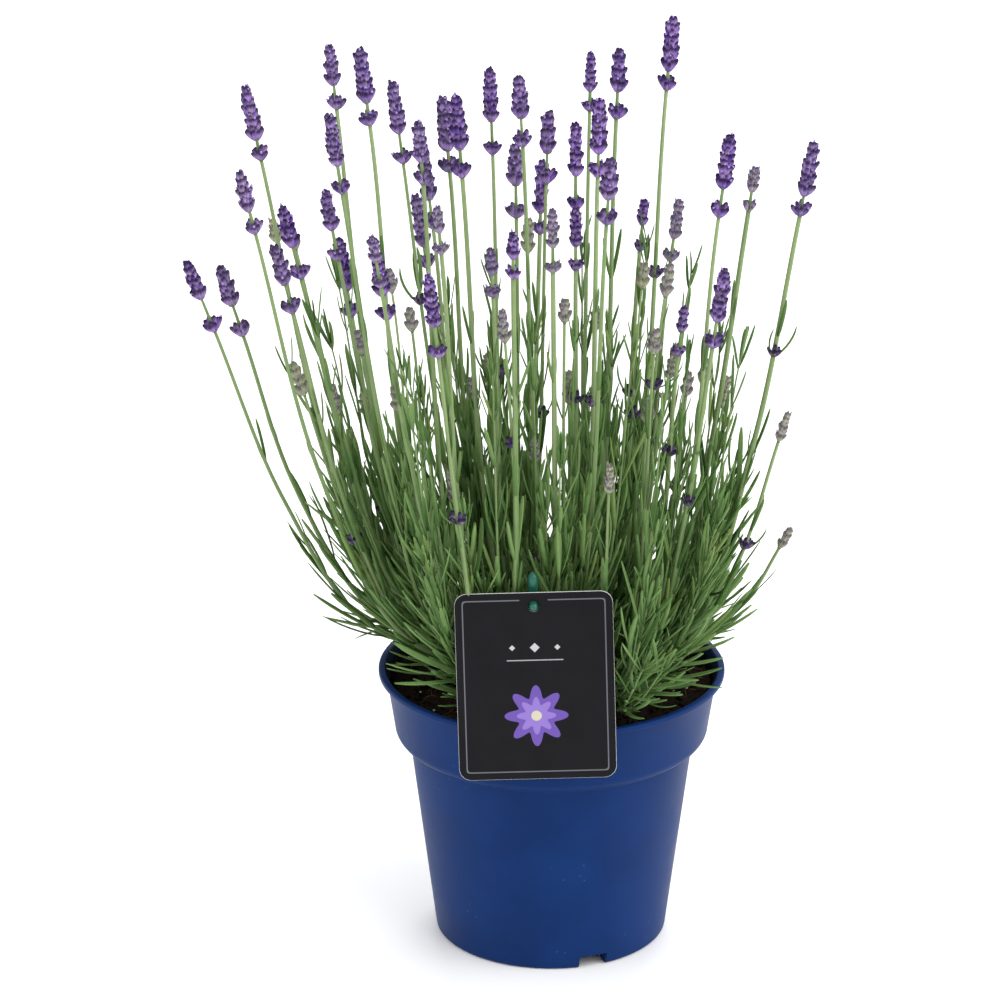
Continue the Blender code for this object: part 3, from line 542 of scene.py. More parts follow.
def tube_faces(count, rings, around):
    """Faces over count tubes of rings of points: quads between the rings, and a cap at each end."""
    ring = np.arange(rings - 1)[:, None]
    turn = np.arange(around)[None, :]
    low = ring * around + turn
    nxt = ring * around + (turn + 1) % around
    quads = np.stack([low, nxt, nxt + around, low + around], -1).reshape(-1, 4)
    foot = np.arange(around)[::-1]
    head = (rings - 1) * around + np.arange(around)
    start = (np.arange(count) * rings * around)[:, None, None]
    return [
        (quads[None] + start).reshape(-1, 4),
        (np.stack([foot, head])[None] + start).reshape(-1, around),
    ]


def join_parts(parts):
    """Stacks several (points, faces, marks) sets into one."""
    points, faces, marks = [], [], {}
    start = 0
    for some_points, some_faces, some_marks in parts:
        points.append(some_points)
        faces += [f + start for f in some_faces]
        start += len(some_points)
        for mark, values in some_marks.items():
            marks.setdefault(mark, []).append(np.asarray(values).ravel())
    return np.concatenate(points), faces, {m: np.concatenate(v) for m, v in marks.items()}


def centre_line(corners, end_direction, rings):
    """A smooth line through a stem's corners: on each stretch, the cubic that leaves and reaches its
    ends along the mean direction of the stretches that meet there."""
    corners = np.array(corners)
    runs = np.diff(corners, axis=0)
    lengths = np.linalg.norm(runs, axis=1)
    ways = runs / lengths[:, None]
    tangents = np.concatenate([ways[:1], unit(ways[:-1] + ways[1:]), unit(end_direction)[None]])
    place = np.linspace(0, lengths.sum(), rings)
    edges = np.concatenate([[0], np.cumsum(lengths)])
    k = np.clip(np.searchsorted(edges, place, side="right") - 1, 0, len(runs) - 1)
    t = ((place - edges[k]) / lengths[k])[:, None]
    span = lengths[k][:, None]
    return (
        (2 * t**3 - 3 * t**2 + 1) * corners[k]
        + (t**3 - 2 * t**2 + t) * span * tangents[k]
        + (3 * t**2 - 2 * t**3) * corners[k + 1]
        + (t**3 - t**2) * span * tangents[k + 1]
    )


def with_ends(stems):
    """Adds each stem's last direction."""
    for stem in stems:
        stem.setdefault("end", stem.get("axis", unit(stem["points"][-1] - stem["points"][-2])))
    return stems


def side_frames(lines, twist):
    """Two directions square to each line at each of its points. The first stays in the plane of a
    level direction at the given bearing, so a stem doesn't spin."""
    way = unit(np.gradient(lines, axis=-2))
    level = np.stack([np.cos(twist), np.sin(twist), np.zeros_like(twist)], -1)[..., None, :]
    side = unit(level - (level * way).sum(-1, keepdims=True) * way)
    return side, np.cross(way, side)


def swept(lines, side, other, outline, scale):
    """An outline in two directions carried along each line and scaled at each of its points."""
    x = outline[:, 0][None, None, :, None] * side[:, :, None, :]
    y = outline[:, 1][None, None, :, None] * other[:, :, None, :]
    return lines[:, :, None, :] + scale[:, :, None, None] * (x + y)


# --- Stems and leaves -------------------------------------------------------------------------

STEM_HOLLOW = 0.17


def square_outline(around):
    """A square with soft corners: its radius falls from 1 with half of (1 - cos 4a), times the hollow."""
    angle = full_turn(around)
    radius = 1.0 - STEM_HOLLOW * (1 - np.cos(4 * angle)) / 2
    return radius[:, None] * np.stack([np.cos(angle), np.sin(angle)], 1)


def stems_part(stems, rings, around, foot, top, rng):
    """Square stems, one tube for each centre line. The radius goes from foot to top with the share of
    the length to the power 0.8."""
    lines = np.array([centre_line(s["points"], s["end"], rings) for s in stems])
    side, other = side_frames(lines, rng.uniform(0, np.pi, len(stems)))
    share = np.linspace(0, 1, rings)[None, :]
    scale = foot + (top - foot) * share ** 0.8
    scale = scale * np.array([s.get("stout", 1.0) for s in stems])[:, None]
    shade = np.array([s.get("shade", 1.0) for s in stems])[:, None, None]
    outline = square_outline(around)
    points = swept(lines, side, other, outline, scale)
    marks = {
        "share": share[:, :, None] * shade * np.ones(points.shape[:3]),
        "tone": rng.uniform(0, 1, (len(stems), 1, 1)) * shade * np.ones(points.shape[:3]),
        "side": np.broadcast_to((outline**2).sum(1)[None, None, :], points.shape[:3]),
    }
    return points.reshape(-1, 3), tube_faces(len(stems), rings, around), marks


LINE_POINTS = 60
LEAF_RINGS = 7
LEAF_LIFT = 0.20
LEAF_SHARES = np.linspace(0, 1, LEAF_RINGS) ** 0.75
LEAF_FOOT = 0.45
LEAF_WIDEST = (0.35, 0.70)
LEAF_BLUNT = 0.16
GROWN_LEAF = 0.036
LEAF_SIZES = (0.60, 1.0)
LEAF_SPREAD = (0.75, 1.15)
LEAF_TRIES = 8
LEAF_SHRINK = 0.93
LEAF_SPANS = (0.62, 1.0)
TOP_LEAF_LOSS = 0.38
# Where a pair may stand in its share of the stem, how far its leaves turn from a straight line, how
# much they roll, and how quickly a blade closes to its tip.
PAIR_PLACES = (0.2, 0.8)
PAIR_TURN = 0.35
LEAF_ROLL = 0.35
TIP_POWER = 2.2
SOIL_CLEAR = (0.088, 0.0025)
RIM_CLEAR = (0.0815, 0.0040)
# Half widths across a leaf and heights over its face, as shares of its half width: rolled margins, a
# grooved upper face and a keel under the midrib.
LEAF_OUTLINE = np.array([
    (1.0, -0.12), (0.56, 0.30), (0.0, 0.08), (-0.56, 0.30), (-1.0, -0.12), (0.0, -0.48),
])


def blade_lines(root, stem, outward, splay, bend, span, share=LEAF_SHARES):
    """The middle lines of leaves: each leaves its stem at the splay angle and turns evenly by bend
    along its length, in the plane of its stem and its outward direction. The more level it runs, the
    more its tip is lifted, with the square of the share of its length."""
    angle = splay[:, None] + bend[:, None] * share[None, :]
    step = span[:, None, None] * np.diff(share)[None, :, None]
    way = np.cos(angle)[..., None] * stem[:, None, :] + np.sin(angle)[..., None] * outward[:, None, :]
    middle = 0.5 * (way[:, 1:] + way[:, :-1]) * step
    lines = root[:, None, :] + np.concatenate([np.zeros_like(middle[:, :1]), np.cumsum(middle, 1)], 1)
    lines[..., 2] += LEAF_LIFT * span[:, None] * (1.0 - np.abs(way[..., 2])) * share**2
    upper = np.sin(angle)[..., None] * stem[:, None, :] - np.cos(angle)[..., None] * outward[:, None, :]
    return lines, way, upper


def leaves_part(leaves, width, rng):
    """Narrow leaves. The half width rises from the foot's share as a quarter sine, stays between the
    two widest places, and closes to a blunt tip as the root of 1 less a power of what is left."""
    lines, way, upper = blade_lines(
        leaves["root"], leaves["stem"], leaves["outward"], leaves["splay"], leaves["bend"], leaves["span"]
    )
    count = len(lines)
    across = np.cross(way, upper)
    roll = leaves["roll"][:, None, None]
    tilted = np.cos(roll) * across + np.sin(roll) * upper
    face = np.cos(roll) * upper - np.sin(roll) * across
    share = LEAF_SHARES
    rise = np.sin(0.5 * np.pi * np.clip(share / LEAF_WIDEST[0], 0, 1))
    close = np.clip((share - LEAF_WIDEST[1]) / (1 - LEAF_WIDEST[1]), 0, 1) ** TIP_POWER
    taper = (LEAF_FOOT + (1 - LEAF_FOOT) * rise) * np.sqrt(np.clip(1.0 - close, LEAF_BLUNT, 1))
    size = np.clip(leaves["span"] / GROWN_LEAF, *LEAF_SIZES) * rng.uniform(*LEAF_SPREAD, count)
    scale = 0.5 * width * size[:, None] * taper[None, :]
    points = swept(lines, tilted, face, LEAF_OUTLINE, scale)
    shape = points.shape[:3]
    marks = {
        "share": np.broadcast_to(share[None, :, None], shape),
        "tone": np.broadcast_to(leaves["tone"][:, None, None], shape),
        "side": np.broadcast_to(np.abs(LEAF_OUTLINE[:, 0])[None, None, :], shape),
    }
    return points.reshape(-1, 3), tube_faces(count, LEAF_RINGS, len(LEAF_OUTLINE)), marks


INSIDE_BENDS = [bend[1] + INSIDE_RISE for bend in (STEP, SHOULDER, COLLAR_FOOT)]


def pot_inner_radius(height):
    """The radius of the pot's inside at a height above its floor."""
    radii = [
        FOOT_RADIUS - INSIDE_STEPS[0],
        STEP[0] - INSIDE_STEPS[1],
        SHOULDER[0] - INSIDE_STEPS[2],
        COLLAR_FOOT[0] - WALL,
        COLLAR_TOP_RADIUS - WALL,
    ]
    return np.interp(height, [FLOOR_RISE, *INSIDE_BENDS, POT_HEIGHT - FLARE_DEPTH], radii)


def leaf_room(lines):
    """True for each leaf whose middle line stays off the soil, the pot's wall and rim, and the label."""
    radius = np.linalg.norm(lines[..., :2], axis=-1)
    height = lines[..., 2]
    in_soil = (radius < SOIL_CLEAR[0]) & (height < SOIL_CROWN + SOIL_CLEAR[1])
    in_rim = (radius > RIM_CLEAR[0]) & (height < POT_HEIGHT + RIM_CLEAR[1])
    too_far = np.linalg.norm(lines[..., :2] - np.array(FOLIAGE_CENTRE), axis=-1) > FOLIAGE_RADIUS
    return ~(in_soil | in_rim | too_far).any(1) & card_room(lines).all(1)


def leaves_on(stems, rng, longest, low, high, pairs, splay, bend):
    """Opposite pairs of leaves up each stem, each pair about a quarter turn from the last, between
    two shares of its height. A leaf that would meet the pot, soil or label is redrawn or left out."""
    roots, ways, outwards, shares = [], [], [], []
    for stem in stems:
        line = centre_line(stem["points"], stem["end"], LINE_POINTS)
        way = unit(np.gradient(line, axis=0))
        first = rng.uniform(0, 2 * np.pi)
        for pair in range(pairs):
            share = low + (high - low) * (pair + rng.uniform(*PAIR_PLACES)) / pairs
            k = int(share * (LINE_POINTS - 1))
            level = np.array([1.0, 0.0, 0.0])
            side = unit(level - (level @ way[k]) * way[k])
            other = np.cross(way[k], side)
            for mate in (0, 1):
                turn = first + 0.5 * np.pi * pair + np.pi * mate + rng.uniform(-PAIR_TURN, PAIR_TURN)
                roots.append(line[k])
                ways.append(way[k])
                outwards.append(np.cos(turn) * side + np.sin(turn) * other)
                shares.append(share)
    count = len(roots)
    leaves = {
        "root": np.array(roots),
        "stem": np.array(ways),
        "outward": np.array(outwards),
        "tone": rng.uniform(0, 1, count),
        "roll": rng.normal(0, LEAF_ROLL, count),
    }
    share = np.array(shares)
    kept = np.zeros(count, bool)
    chosen = np.zeros((3, count))
    for attempt in range(LEAF_TRIES):
        splays = rng.uniform(*splay, count)
        bends = rng.uniform(*bend, count)
        spans = longest * rng.uniform(*LEAF_SPANS, count) * (1.0 - TOP_LEAF_LOSS * share**2)
        trial = np.stack([splays, bends, spans * LEAF_SHRINK**attempt])
        lines, _, _ = blade_lines(leaves["root"], leaves["stem"], leaves["outward"], *trial)
        fresh = leaf_room(lines) & ~kept
        chosen[:, fresh] = trial[:, fresh]
        kept |= fresh
    leaves["splay"], leaves["bend"], leaves["span"] = chosen
    return {key: values[kept] for key, values in leaves.items()}


# How many stalks carry a curled pair, between which shares of their length, and how far its outward
# side may turn from the side of the first axis.
NODE_SHARE = 0.42
NODE_PLACES = (0.46, 0.76)
NODE_TURN = 0.8
NODE_LEAF = {"splay": (0.85, 1.25), "bend": (-1.35, -0.95), "span": (0.012, 0.025)}


def stalk_node(stalk):
    """Where a stalk carries a lone pair of curled leaves round a few dark calyces: the place, the
    stalk's direction and the pair's outward side, or None where it has none."""
    rng = np.random.default_rng(int(1e6 * abs(stalk["points"][-1][0])))
    if rng.random() > NODE_SHARE:
        return None
    line = centre_line(stalk["points"], stalk["end"], LINE_POINTS)
    k = int(LINE_POINTS * rng.uniform(*NODE_PLACES))
    way = unit(line[k] - line[k - 1])
    bearing = rng.uniform(-NODE_TURN, NODE_TURN)
    level = np.array([math.cos(bearing), math.sin(bearing), 0.0])
    return line[k], way, unit(level - (level @ way) * way)


def node_leaves(nodes, rng):
    """The curled pairs at the nodes of stalks."""
    count = 2 * len(nodes)
    leaves = {
        "root": np.repeat([place for place, _, _ in nodes], 2, axis=0),
        "stem": np.repeat([way for _, way, _ in nodes], 2, axis=0),
        "outward": np.concatenate([(out, -out) for _, _, out in nodes]),
        "tone": rng.uniform(0.0, 0.6, count),
        "roll": rng.normal(0, 0.15, count),
    }
    for key, limits in NODE_LEAF.items():
        leaves[key] = rng.uniform(*limits, count)
    return leaves


# --- Flowers ----------------------------------------------------------------------------------

# Radius and height, as shares of a calyx's girth and length, and of a bud in its mouth.
CALYX_PROFILE = np.array([(0.32, 0.0), (0.80, 0.20), (1.0, 0.46), (0.94, 0.72), (0.66, 0.92), (0.22, 1.0)])
BUD_PROFILE = np.array([(0.40, 0.0), (0.80, 0.30), (0.84, 0.62), (0.52, 0.90), (0.12, 1.0)])
AROUND = 6
RIBS = 0.07
# A green head's whorls stand closer than the others', by this share.
BUD_SQUEEZE = 0.72
# By kind of head: how stout its calyces are, and how far they are from ripe.
STOUTNESS = {"full": (0.92, 1.10), "young": (0.74, 0.86), "bud": (0.80, 0.96)}
TINTS = {"full": (0.0, 0.22), "young": (0.05, 0.55), "bud": (0.70, 1.0)}
# A head that stands lower than this is small and green, whatever its kind.
LOW_HEAD = 0.300
LOW_STOUT = 0.80
LOW_TINTS = (0.85, 1.0)
# How far a head starts up its stalk, or down for a green one, and how far its rachis goes past the
# foot of the topmost whorl.
HEAD_SEATS = {"full": 0.0003, "young": 0.0003, "bud": -0.0020}
RACHIS_TOP = 0.0025
# How many calyces show a bud, where its foot is along the calyx, its length and its girth.
OPEN_SHARE = 0.12
BUD_FOOT = 0.84
BUD_LENGTHS = (0.20, 0.32)
BUD_GIRTH = 0.60
BRACTS = 4
BRACT_TAPER = np.array([0.60, 1.0, 0.92, 0.52, 0.05])
BRACT_WIDTH = 0.00165
BRACT_SPANS = (0.0034, 0.0044)
BRACT_SPLAY = 1.25
BRACT_BEND = -0.95
BRACT_FLATNESS = np.array([1.0, 0.55])
BRACT_DROP = 0.0004
BRACT_SHARE = 0.30


def whorl_places(spike):
    """Each whorl's height above the head's foot, and its share of the way up the head."""
    apart = spike["drop"] > 0
    total = spike["whorls"] + (1 if apart else 0)
    pitch = WHORL_PITCH * (BUD_SQUEEZE if spike["kind"] == "bud" else 1.0)
    return [
        (k * pitch + (spike["drop"] if apart and k > 0 else 0.0), k / max(total - 1, 1))
        for k in range(total)
    ]


def head_sides(axis):
    """Two directions square to a head's axis."""
    level = np.array([0.2, -0.98, 0.0])
    side = unit(level - (level @ axis) * axis)
    return side, np.cross(axis, side)


def barrels(root, way, lengths, girth, profile, turn):
    """Turned bodies, one for each root along its direction: the profile's radius and height, with the
    radius a little more and less on every second point round it, as ribs."""
    level = np.array([0.31, 0.95, 0.0])
    side = unit(level - (way @ level)[:, None] * way)
    other = np.cross(way, side)
    angle = full_turn(AROUND) + turn[:, None]
    flat = np.cos(angle)[..., None] * side[:, None, :] + np.sin(angle)[..., None] * other[:, None, :]
    ribs = 1.0 + RIBS * np.cos(np.pi * np.arange(AROUND))
    radius = profile[:, 0][None, :, None] * girth[:, None, None] * ribs[None, None, :]
    rise = profile[:, 1][None, :] * lengths[:, None]
    return (
        root[:, None, None, :]
        + radius[..., None] * flat[:, None, :, :]
        + rise[:, :, None, None] * way[:, None, None, :]
    )


# Tiers of a whorl, which has two opposite fans of calyces: how many in each fan, the fan's spread,
# the lean from the axis, and how far up the pitch they start.
RIPE_TIERS = ((5, 2.70, 0.56, 0.00), (3, 2.20, 0.26, 0.24), (3, 3.00, 0.42, 0.50))
APART_TIERS = ((4, 1.90, 0.66, 0.00), (2, 1.30, 0.40, 0.10))
GREEN_TIERS = ((5, 2.80, 0.46, 0.00), (3, 2.20, 0.22, 0.36))
CROWN_TIER = (3, 1.80, 0.20, 0.36)
NODE_TIERS = ((3, 1.50, 0.70, 0.00), (1, 0.00, 0.25, 0.15))
# Chance differences between the bearings of whorls and of calyces, and in a calyx's lean, height and size.
WHORL_TURN = 0.3
CALYX_TURN = 0.12
CALYX_LEAN = 0.10
CALYX_SHIFT = 0.0004
CALYX_SIZES = (0.88, 1.10)
# How much less the topmost calyces lean and how much smaller they are, and how far out a calyx starts.
TOP_LEAN_LOSS = 0.30
TOP_SIZE_LOSS = 0.14
CALYX_OUT = 0.0006


def whorl_calyces(rng, base, axis, places, tiers, apart=False, crowned=True):
    """Roots, directions and sizes of calyces: whorls of two opposite fans, each whorl a quarter turn
    from the last. They lean less and shrink with the square of the share of the way up the head."""
    side, other = head_sides(axis)
    facing = rng.uniform(0, np.pi)
    roots, ways, sizes = [], [], []
    for k, (height, share) in enumerate(places):
        facing += 0.5 * np.pi + rng.uniform(-WHORL_TURN, WHORL_TURN)
        grown = tiers
        if apart and k == 0:
            grown = APART_TIERS
        if crowned and k == len(places) - 1:
            grown = (*tiers[:2], CROWN_TIER)
        for count, fan_angle, lean, lift in grown:
            place = (np.arange(count) - 0.5 * (count - 1)) / max(count - 1, 1)
            turn = facing + fan_angle * np.concatenate([place, place]) + np.repeat([0.0, np.pi], count)
            turn = turn + rng.uniform(-CALYX_TURN, CALYX_TURN, 2 * count)
            splay = lean * (1.0 - TOP_LEAN_LOSS * share**2) + rng.uniform(-CALYX_LEAN, CALYX_LEAN, 2 * count)
            out = np.cos(turn)[:, None] * side + np.sin(turn)[:, None] * other
            up = height + lift * WHORL_PITCH + rng.uniform(-CALYX_SHIFT, CALYX_SHIFT, 2 * count)
            roots.append(base + up[:, None] * axis + CALYX_OUT * out)
            ways.append(np.cos(splay)[:, None] * axis + np.sin(splay)[:, None] * out)
            sizes.append((1.0 - TOP_SIZE_LOSS * share**2) * rng.uniform(*CALYX_SIZES, 2 * count))
    return np.concatenate(roots), np.concatenate(ways), np.concatenate(sizes)


def calyx_part(root, way, size, rng, calyx, girth, tint):
    """Calyces as turned bodies, with the marks that colour them."""
    count = len(root)
    body = barrels(root, way, calyx * size, girth * size, CALYX_PROFILE, rng.uniform(0, np.pi, count))
    shape = body.shape[:3]
    marks = {
        "share": np.broadcast_to(CALYX_PROFILE[:, 1][None, :, None], shape),
        "tone": np.broadcast_to(np.clip(rng.normal(0.5, 0.28, count), 0, 1)[:, None, None], shape),
        "tint": np.full(shape, tint),
        "side": np.broadcast_to((np.arange(AROUND) % 2)[None, None, :], shape),
    }
    return body.reshape(-1, 3), tube_faces(count, len(CALYX_PROFILE), AROUND), marks


def spike_parts(spike, rng, calyx, girth, tint):
    """The parts of one spike: its calyces, and the flower buds that show at the mouths of a few."""
    tiers = GREEN_TIERS if spike["kind"] == "bud" else RIPE_TIERS
    places = whorl_places(spike)
    base, axis = spike["base"], spike["axis"]
    root, way, size = whorl_calyces(rng, base, axis, places, tiers, apart=spike["drop"] > 0)
    size = spike["stout"] * size
    parts = [calyx_part(root, way, size, rng, calyx, girth, tint)]
    shown = rng.random(len(root)) < OPEN_SHARE
    if shown.any():
        parts.append(bud_part(root[shown], way[shown], size[shown], rng, calyx, girth, tint))
    return parts


def bud_part(root, way, size, rng, calyx, girth, tint):
    """Flower buds in the mouths of calyces: short turned bodies, marked with a share of -1."""
    count = len(root)
    start = root + way * (BUD_FOOT * calyx * size)[:, None]
    lengths = rng.uniform(*BUD_LENGTHS, count) * calyx
    girths = BUD_GIRTH * girth * size
    bud = barrels(start, way, lengths, girths, BUD_PROFILE, rng.uniform(0, np.pi, count))
    shape = bud.shape[:3]
    marks = {
        "share": np.full(shape, -1.0),
        "tone": np.broadcast_to(rng.uniform(0.3, 1, (count, 1, 1)), shape),
        "tint": np.full(shape, tint),
        "side": np.zeros(shape),
    }
    return bud.reshape(-1, 3), tube_faces(count, len(BUD_PROFILE), AROUND), marks


def bracts_part(spike, rng, tint):
    """Broad pointed bracts that cup the foot of each whorl: short blades that curve upwards."""
    axis = spike["axis"]
    side, other = head_sides(axis)
    roots, outs = [], []
    for height, _ in whorl_places(spike):
        first = rng.uniform(0, np.pi)
        for turn in first + full_turn(BRACTS):
            outs.append(math.cos(turn) * side + math.sin(turn) * other)
            roots.append(spike["base"] + (height - BRACT_DROP) * axis)
    count, rings = len(roots), len(BRACT_TAPER)
    size = spike["stout"]
    lines, way, upper = blade_lines(
        np.array(roots),
        np.tile(axis, (count, 1)),
        np.array(outs),
        np.full(count, BRACT_SPLAY),
        np.full(count, BRACT_BEND),
        size * rng.uniform(*BRACT_SPANS, count),
        np.linspace(0, 1, rings),
    )
    scale = BRACT_WIDTH * size * np.tile(BRACT_TAPER, (count, 1))
    points = swept(lines, np.cross(way, upper), upper, LEAF_OUTLINE * BRACT_FLATNESS, scale)
    shape = points.shape[:3]
    marks = {
        "share": np.broadcast_to(np.linspace(0.0, BRACT_SHARE, rings)[None, :, None], shape),
        "tone": np.broadcast_to(rng.uniform(0, 1, (count, 1, 1)), shape),
        "tint": np.full(shape, tint),
        "side": np.zeros(shape),
    }
    return points.reshape(-1, 3), tube_faces(count, rings, len(LEAF_OUTLINE)), marks


# --- Soil -------------------------------------------------------------------------------------


def lattice_noise(x, y, cell, seed):
    """Smooth noise from 0 to 1: random values at the corners of a square net, eased between them."""
    rng = np.random.default_rng(seed)
    net = rng.random((NET_SIZE, NET_SIZE))
    u, v = x / cell + NET_SIZE / 2, y / cell + NET_SIZE / 2
    i, j = np.floor(u).astype(int), np.floor(v).astype(int)
    fu, fv = ease(u - i, 0, 1), ease(v - j, 0, 1)
    i, j = i % (NET_SIZE - 1), j % (NET_SIZE - 1)
    return (
        net[i, j] * (1 - fu) * (1 - fv)
        + net[i + 1, j] * fu * (1 - fv)
        + net[i, j + 1] * (1 - fu) * fv
        + net[i + 1, j + 1] * fu * fv
    )


SOIL_RADIUS = 0.088
# Lumps by height, width and the seed of their net.
SOIL_LUMPS = ((0.0030, 0.013, 3), (0.0022, 0.0052, 5), (0.0013, 0.0022, 7))
SOIL_BANK = (0.0022, 0.080)
SOIL_SINK = 0.0006
SOIL_GRID = (76, 160)
# How far the soil keeps from the pot's floor and wall, and at its top edge.
SOIL_GAPS = {"floor": 0.0003, "wall": 0.0006, "edge": 0.0004}
NET_SIZE = 256
CRUMB_REACH = 0.0855
# Rings and points of a crumb, its sizes, how flat and how uneven it is, and how far its middle is above
# the bed as a share of its size.
CRUMB_SHAPE = (4, 6)
CRUMB_SIZES = (0.28, 1.0)
CRUMB_FLATNESS = 0.75
CRUMB_ROUGH = (0.68, 1.25)
CRUMB_LIFT = 0.35
SPECK_SHARE = 0.045
SPECK_RADIUS = 0.0008
FIBRE_REACH = 0.080
FIBRE_RADIUS = 0.00022
FIBRE_BEND = 1.2
FIBRE_SPANS = (0.004, 0.014)
# How high a fibre's ends and the middle of its arch are above the bed.
FIBRE_LIFT = 0.0005
FIBRE_ARCH = 0.0016
FIBRE_TAPER = np.array([0.5, 1, 1, 1, 1, 0.4])


def soil_height(x, y):
    """The soil's top: a low dome that is banked up towards the wall with the square of the radius,
    with lumps of three sizes on it."""
    radius = np.hypot(x, y)
    height = SOIL_EDGE + (SOIL_CROWN - SOIL_EDGE) * (1 - np.clip(radius / SOIL_RADIUS, 0, 1) ** 2)
    for size, cell, seed in SOIL_LUMPS:
        height = height + size * (lattice_noise(x, y, cell, seed) - 0.5)
    return height + SOIL_BANK[0] * np.clip(radius / SOIL_BANK[1], 0, 1) ** 2 - SOIL_SINK


# --- Materials --------------------------------------------------------------------------------

# How high inside the rim the plastic is darkened, by a peat stain and by painted shade.
STAIN_AND_SHADE_TOP = 0.1530
# The near-black of that band: part peat stain, part painted shade.
STAIN_AND_SHADE_COLOUR = (0.0030, 0.0026, 0.0024)
PEAT_GREY = (0.012, 0.010, 0.009)
YELLOW_LEAF = (0.19, 0.25, 0.060)
CALYX_FOOT = (0.150, 0.145, 0.110)
UNRIPE_GREY = (0.330, 0.305, 0.285)
PETAL = (0.30, 0.21, 0.55)
UNRIPE_PETAL = (0.26, 0.23, 0.20)
BARK = ((0.050, 0.036, 0.022), (0.150, 0.120, 0.080))


def new_tree(name):
    """A material with a Principled shader, and its node tree and shader."""
    made = bpy.data.materials.new(name)
    made.use_nodes = True
    tree = made.node_tree
    return made, tree, tree.nodes["Principled BSDF"]


def add(tree, kind, **values):
    """A node with the given properties, or inputs where the name is that of an input."""
    made = tree.nodes.new(kind)
    for key, value in values.items():
        if hasattr(made, key):
            setattr(made, key, value)
        else:
            made.inputs[key.replace("_", " ")].default_value = value
    return made


def link(tree, source, target):
    """Joins one node's output to another's input."""
    tree.links.new(source, target)


def math_node(tree, operation, first, second=None, third=None, clamp=False):
    """A Math node whose inputs are sockets or numbers."""
    made = tree.nodes.new("ShaderNodeMath")
    made.operation = operation
    made.use_clamp = clamp
    for place, value in enumerate((first, second, third)):
        if value is None:
            continue
        if isinstance(value, (int, float)):
            made.inputs[place].default_value = value
        else:
            tree.links.new(value, made.inputs[place])
    return made.outputs[0]


def mark_value(tree, name):
    """A named value of the mesh."""
    return add(tree, "ShaderNodeAttribute", attribute_name=name).outputs["Fac"]


def blend_colours(tree, share, first, second):
    """A Mix node between two colours or colour sockets."""
    made = tree.nodes.new("ShaderNodeMix")
    made.data_type = "RGBA"
    made.clamp_factor = True
    if isinstance(share, (int, float)):
        made.inputs["Factor"].default_value = share
    else:
        tree.links.new(share, made.inputs["Factor"])
    for socket, value in ((made.inputs[6], first), (made.inputs[7], second)):
        if hasattr(value, "links"):
            tree.links.new(value, socket)
        else:
            socket.default_value = (*value, 1.0)
    return made.outputs[2]


def mottle_group():
    """Soft blotches and fine grain that vary over a surface, each as a value from 0 to 1."""
    if "Mottle" in bpy.data.node_groups:
        return bpy.data.node_groups["Mottle"]
    group = bpy.data.node_groups.new("Mottle", "ShaderNodeTree")
    for name, default in (("Blotch Scale", 60.0), ("Grain Scale", 900.0)):
        socket = group.interface.new_socket(name, in_out="INPUT", socket_type="NodeSocketFloat")
        socket.default_value = default
    group.interface.new_socket("Blotch", in_out="OUTPUT", socket_type="NodeSocketFloat")
    group.interface.new_socket("Grain", in_out="OUTPUT", socket_type="NodeSocketFloat")
    given = group.nodes.new("NodeGroupInput")
    out = group.nodes.new("NodeGroupOutput")
    place = group.nodes.new("ShaderNodeTexCoord")
    for target, detail in (("Blotch", 3.0), ("Grain", 2.0)):
        noise = group.nodes.new("ShaderNodeTexNoise")
        noise.inputs["Detail"].default_value = detail
        link(group, place.outputs["Object"], noise.inputs["Vector"])
        link(group, given.outputs[target + " Scale"], noise.inputs["Scale"])
        link(group, noise.outputs["Fac"], out.inputs[target])
    return group


def mottle(tree, blotch, grain):
    """The blotches and the grain at the given scales."""
    made = tree.nodes.new("ShaderNodeGroup")
    made.node_tree = mottle_group()
    made.inputs["Blotch Scale"].default_value = blotch
    made.inputs["Grain Scale"].default_value = grain
    return made.outputs["Blotch"], made.outputs["Grain"]


def bump(tree, shader, height, distance, strength):
    """Lets a value raise and lower a shader's surface."""
    made = tree.nodes.new("ShaderNodeBump")
    made.inputs["Distance"].default_value = distance
    made.inputs["Strength"].default_value = strength
    link(tree, height, made.inputs["Height"])
    link(tree, made.outputs["Normal"], shader.inputs["Normal"])


def spread(tree, value, low, high):
    """A value stretched so that low becomes 0 and high becomes 1."""
    made = add(tree, "ShaderNodeMapRange", clamp=True)
    link(tree, value, made.inputs["Value"])
    made.inputs["From Min"].default_value = low
    made.inputs["From Max"].default_value = high
    return made.outputs["Result"]


def finish_surface(tree, shader, base, rough, gloss, grain, depth, strength):
    """Gives a shader its colour, its roughness and reflection, and bumps of the given depth."""
    link(tree, base, shader.inputs["Base Color"])
    if isinstance(rough, float):
        shader.inputs["Roughness"].default_value = rough
    else:
        link(tree, rough, shader.inputs["Roughness"])
    shader.inputs["Specular IOR Level"].default_value = gloss
    bump(tree, shader, grain, depth, strength)


def scaled_colour(shade, scale):
    """A colour made darker or lighter."""
    return tuple(scale * part for part in shade)


def inside_collar(tree, x, y, z):
    """1 where a point is nearer to the axis than the middle of the sloping collar's wall."""
    slope = (COLLAR_TOP_RADIUS - COLLAR_FOOT[0]) / (POT_HEIGHT - LIP_DEPTH - COLLAR_FOOT[1])
    middle = COLLAR_FOOT[0] - 0.5 * WALL - slope * COLLAR_FOOT[1]
    reach = math_node(tree, "MULTIPLY_ADD", z, slope, middle)
    across = math_node(tree, "MULTIPLY_ADD", x, x, math_node(tree, "MULTIPLY", y, y))
    within = math_node(tree, "LESS_THAN", across, math_node(tree, "MULTIPLY", reach, reach))
    return math_node(tree, "MULTIPLY", within, math_node(tree, "GREATER_THAN", z, COLLAR_FOOT[1]))


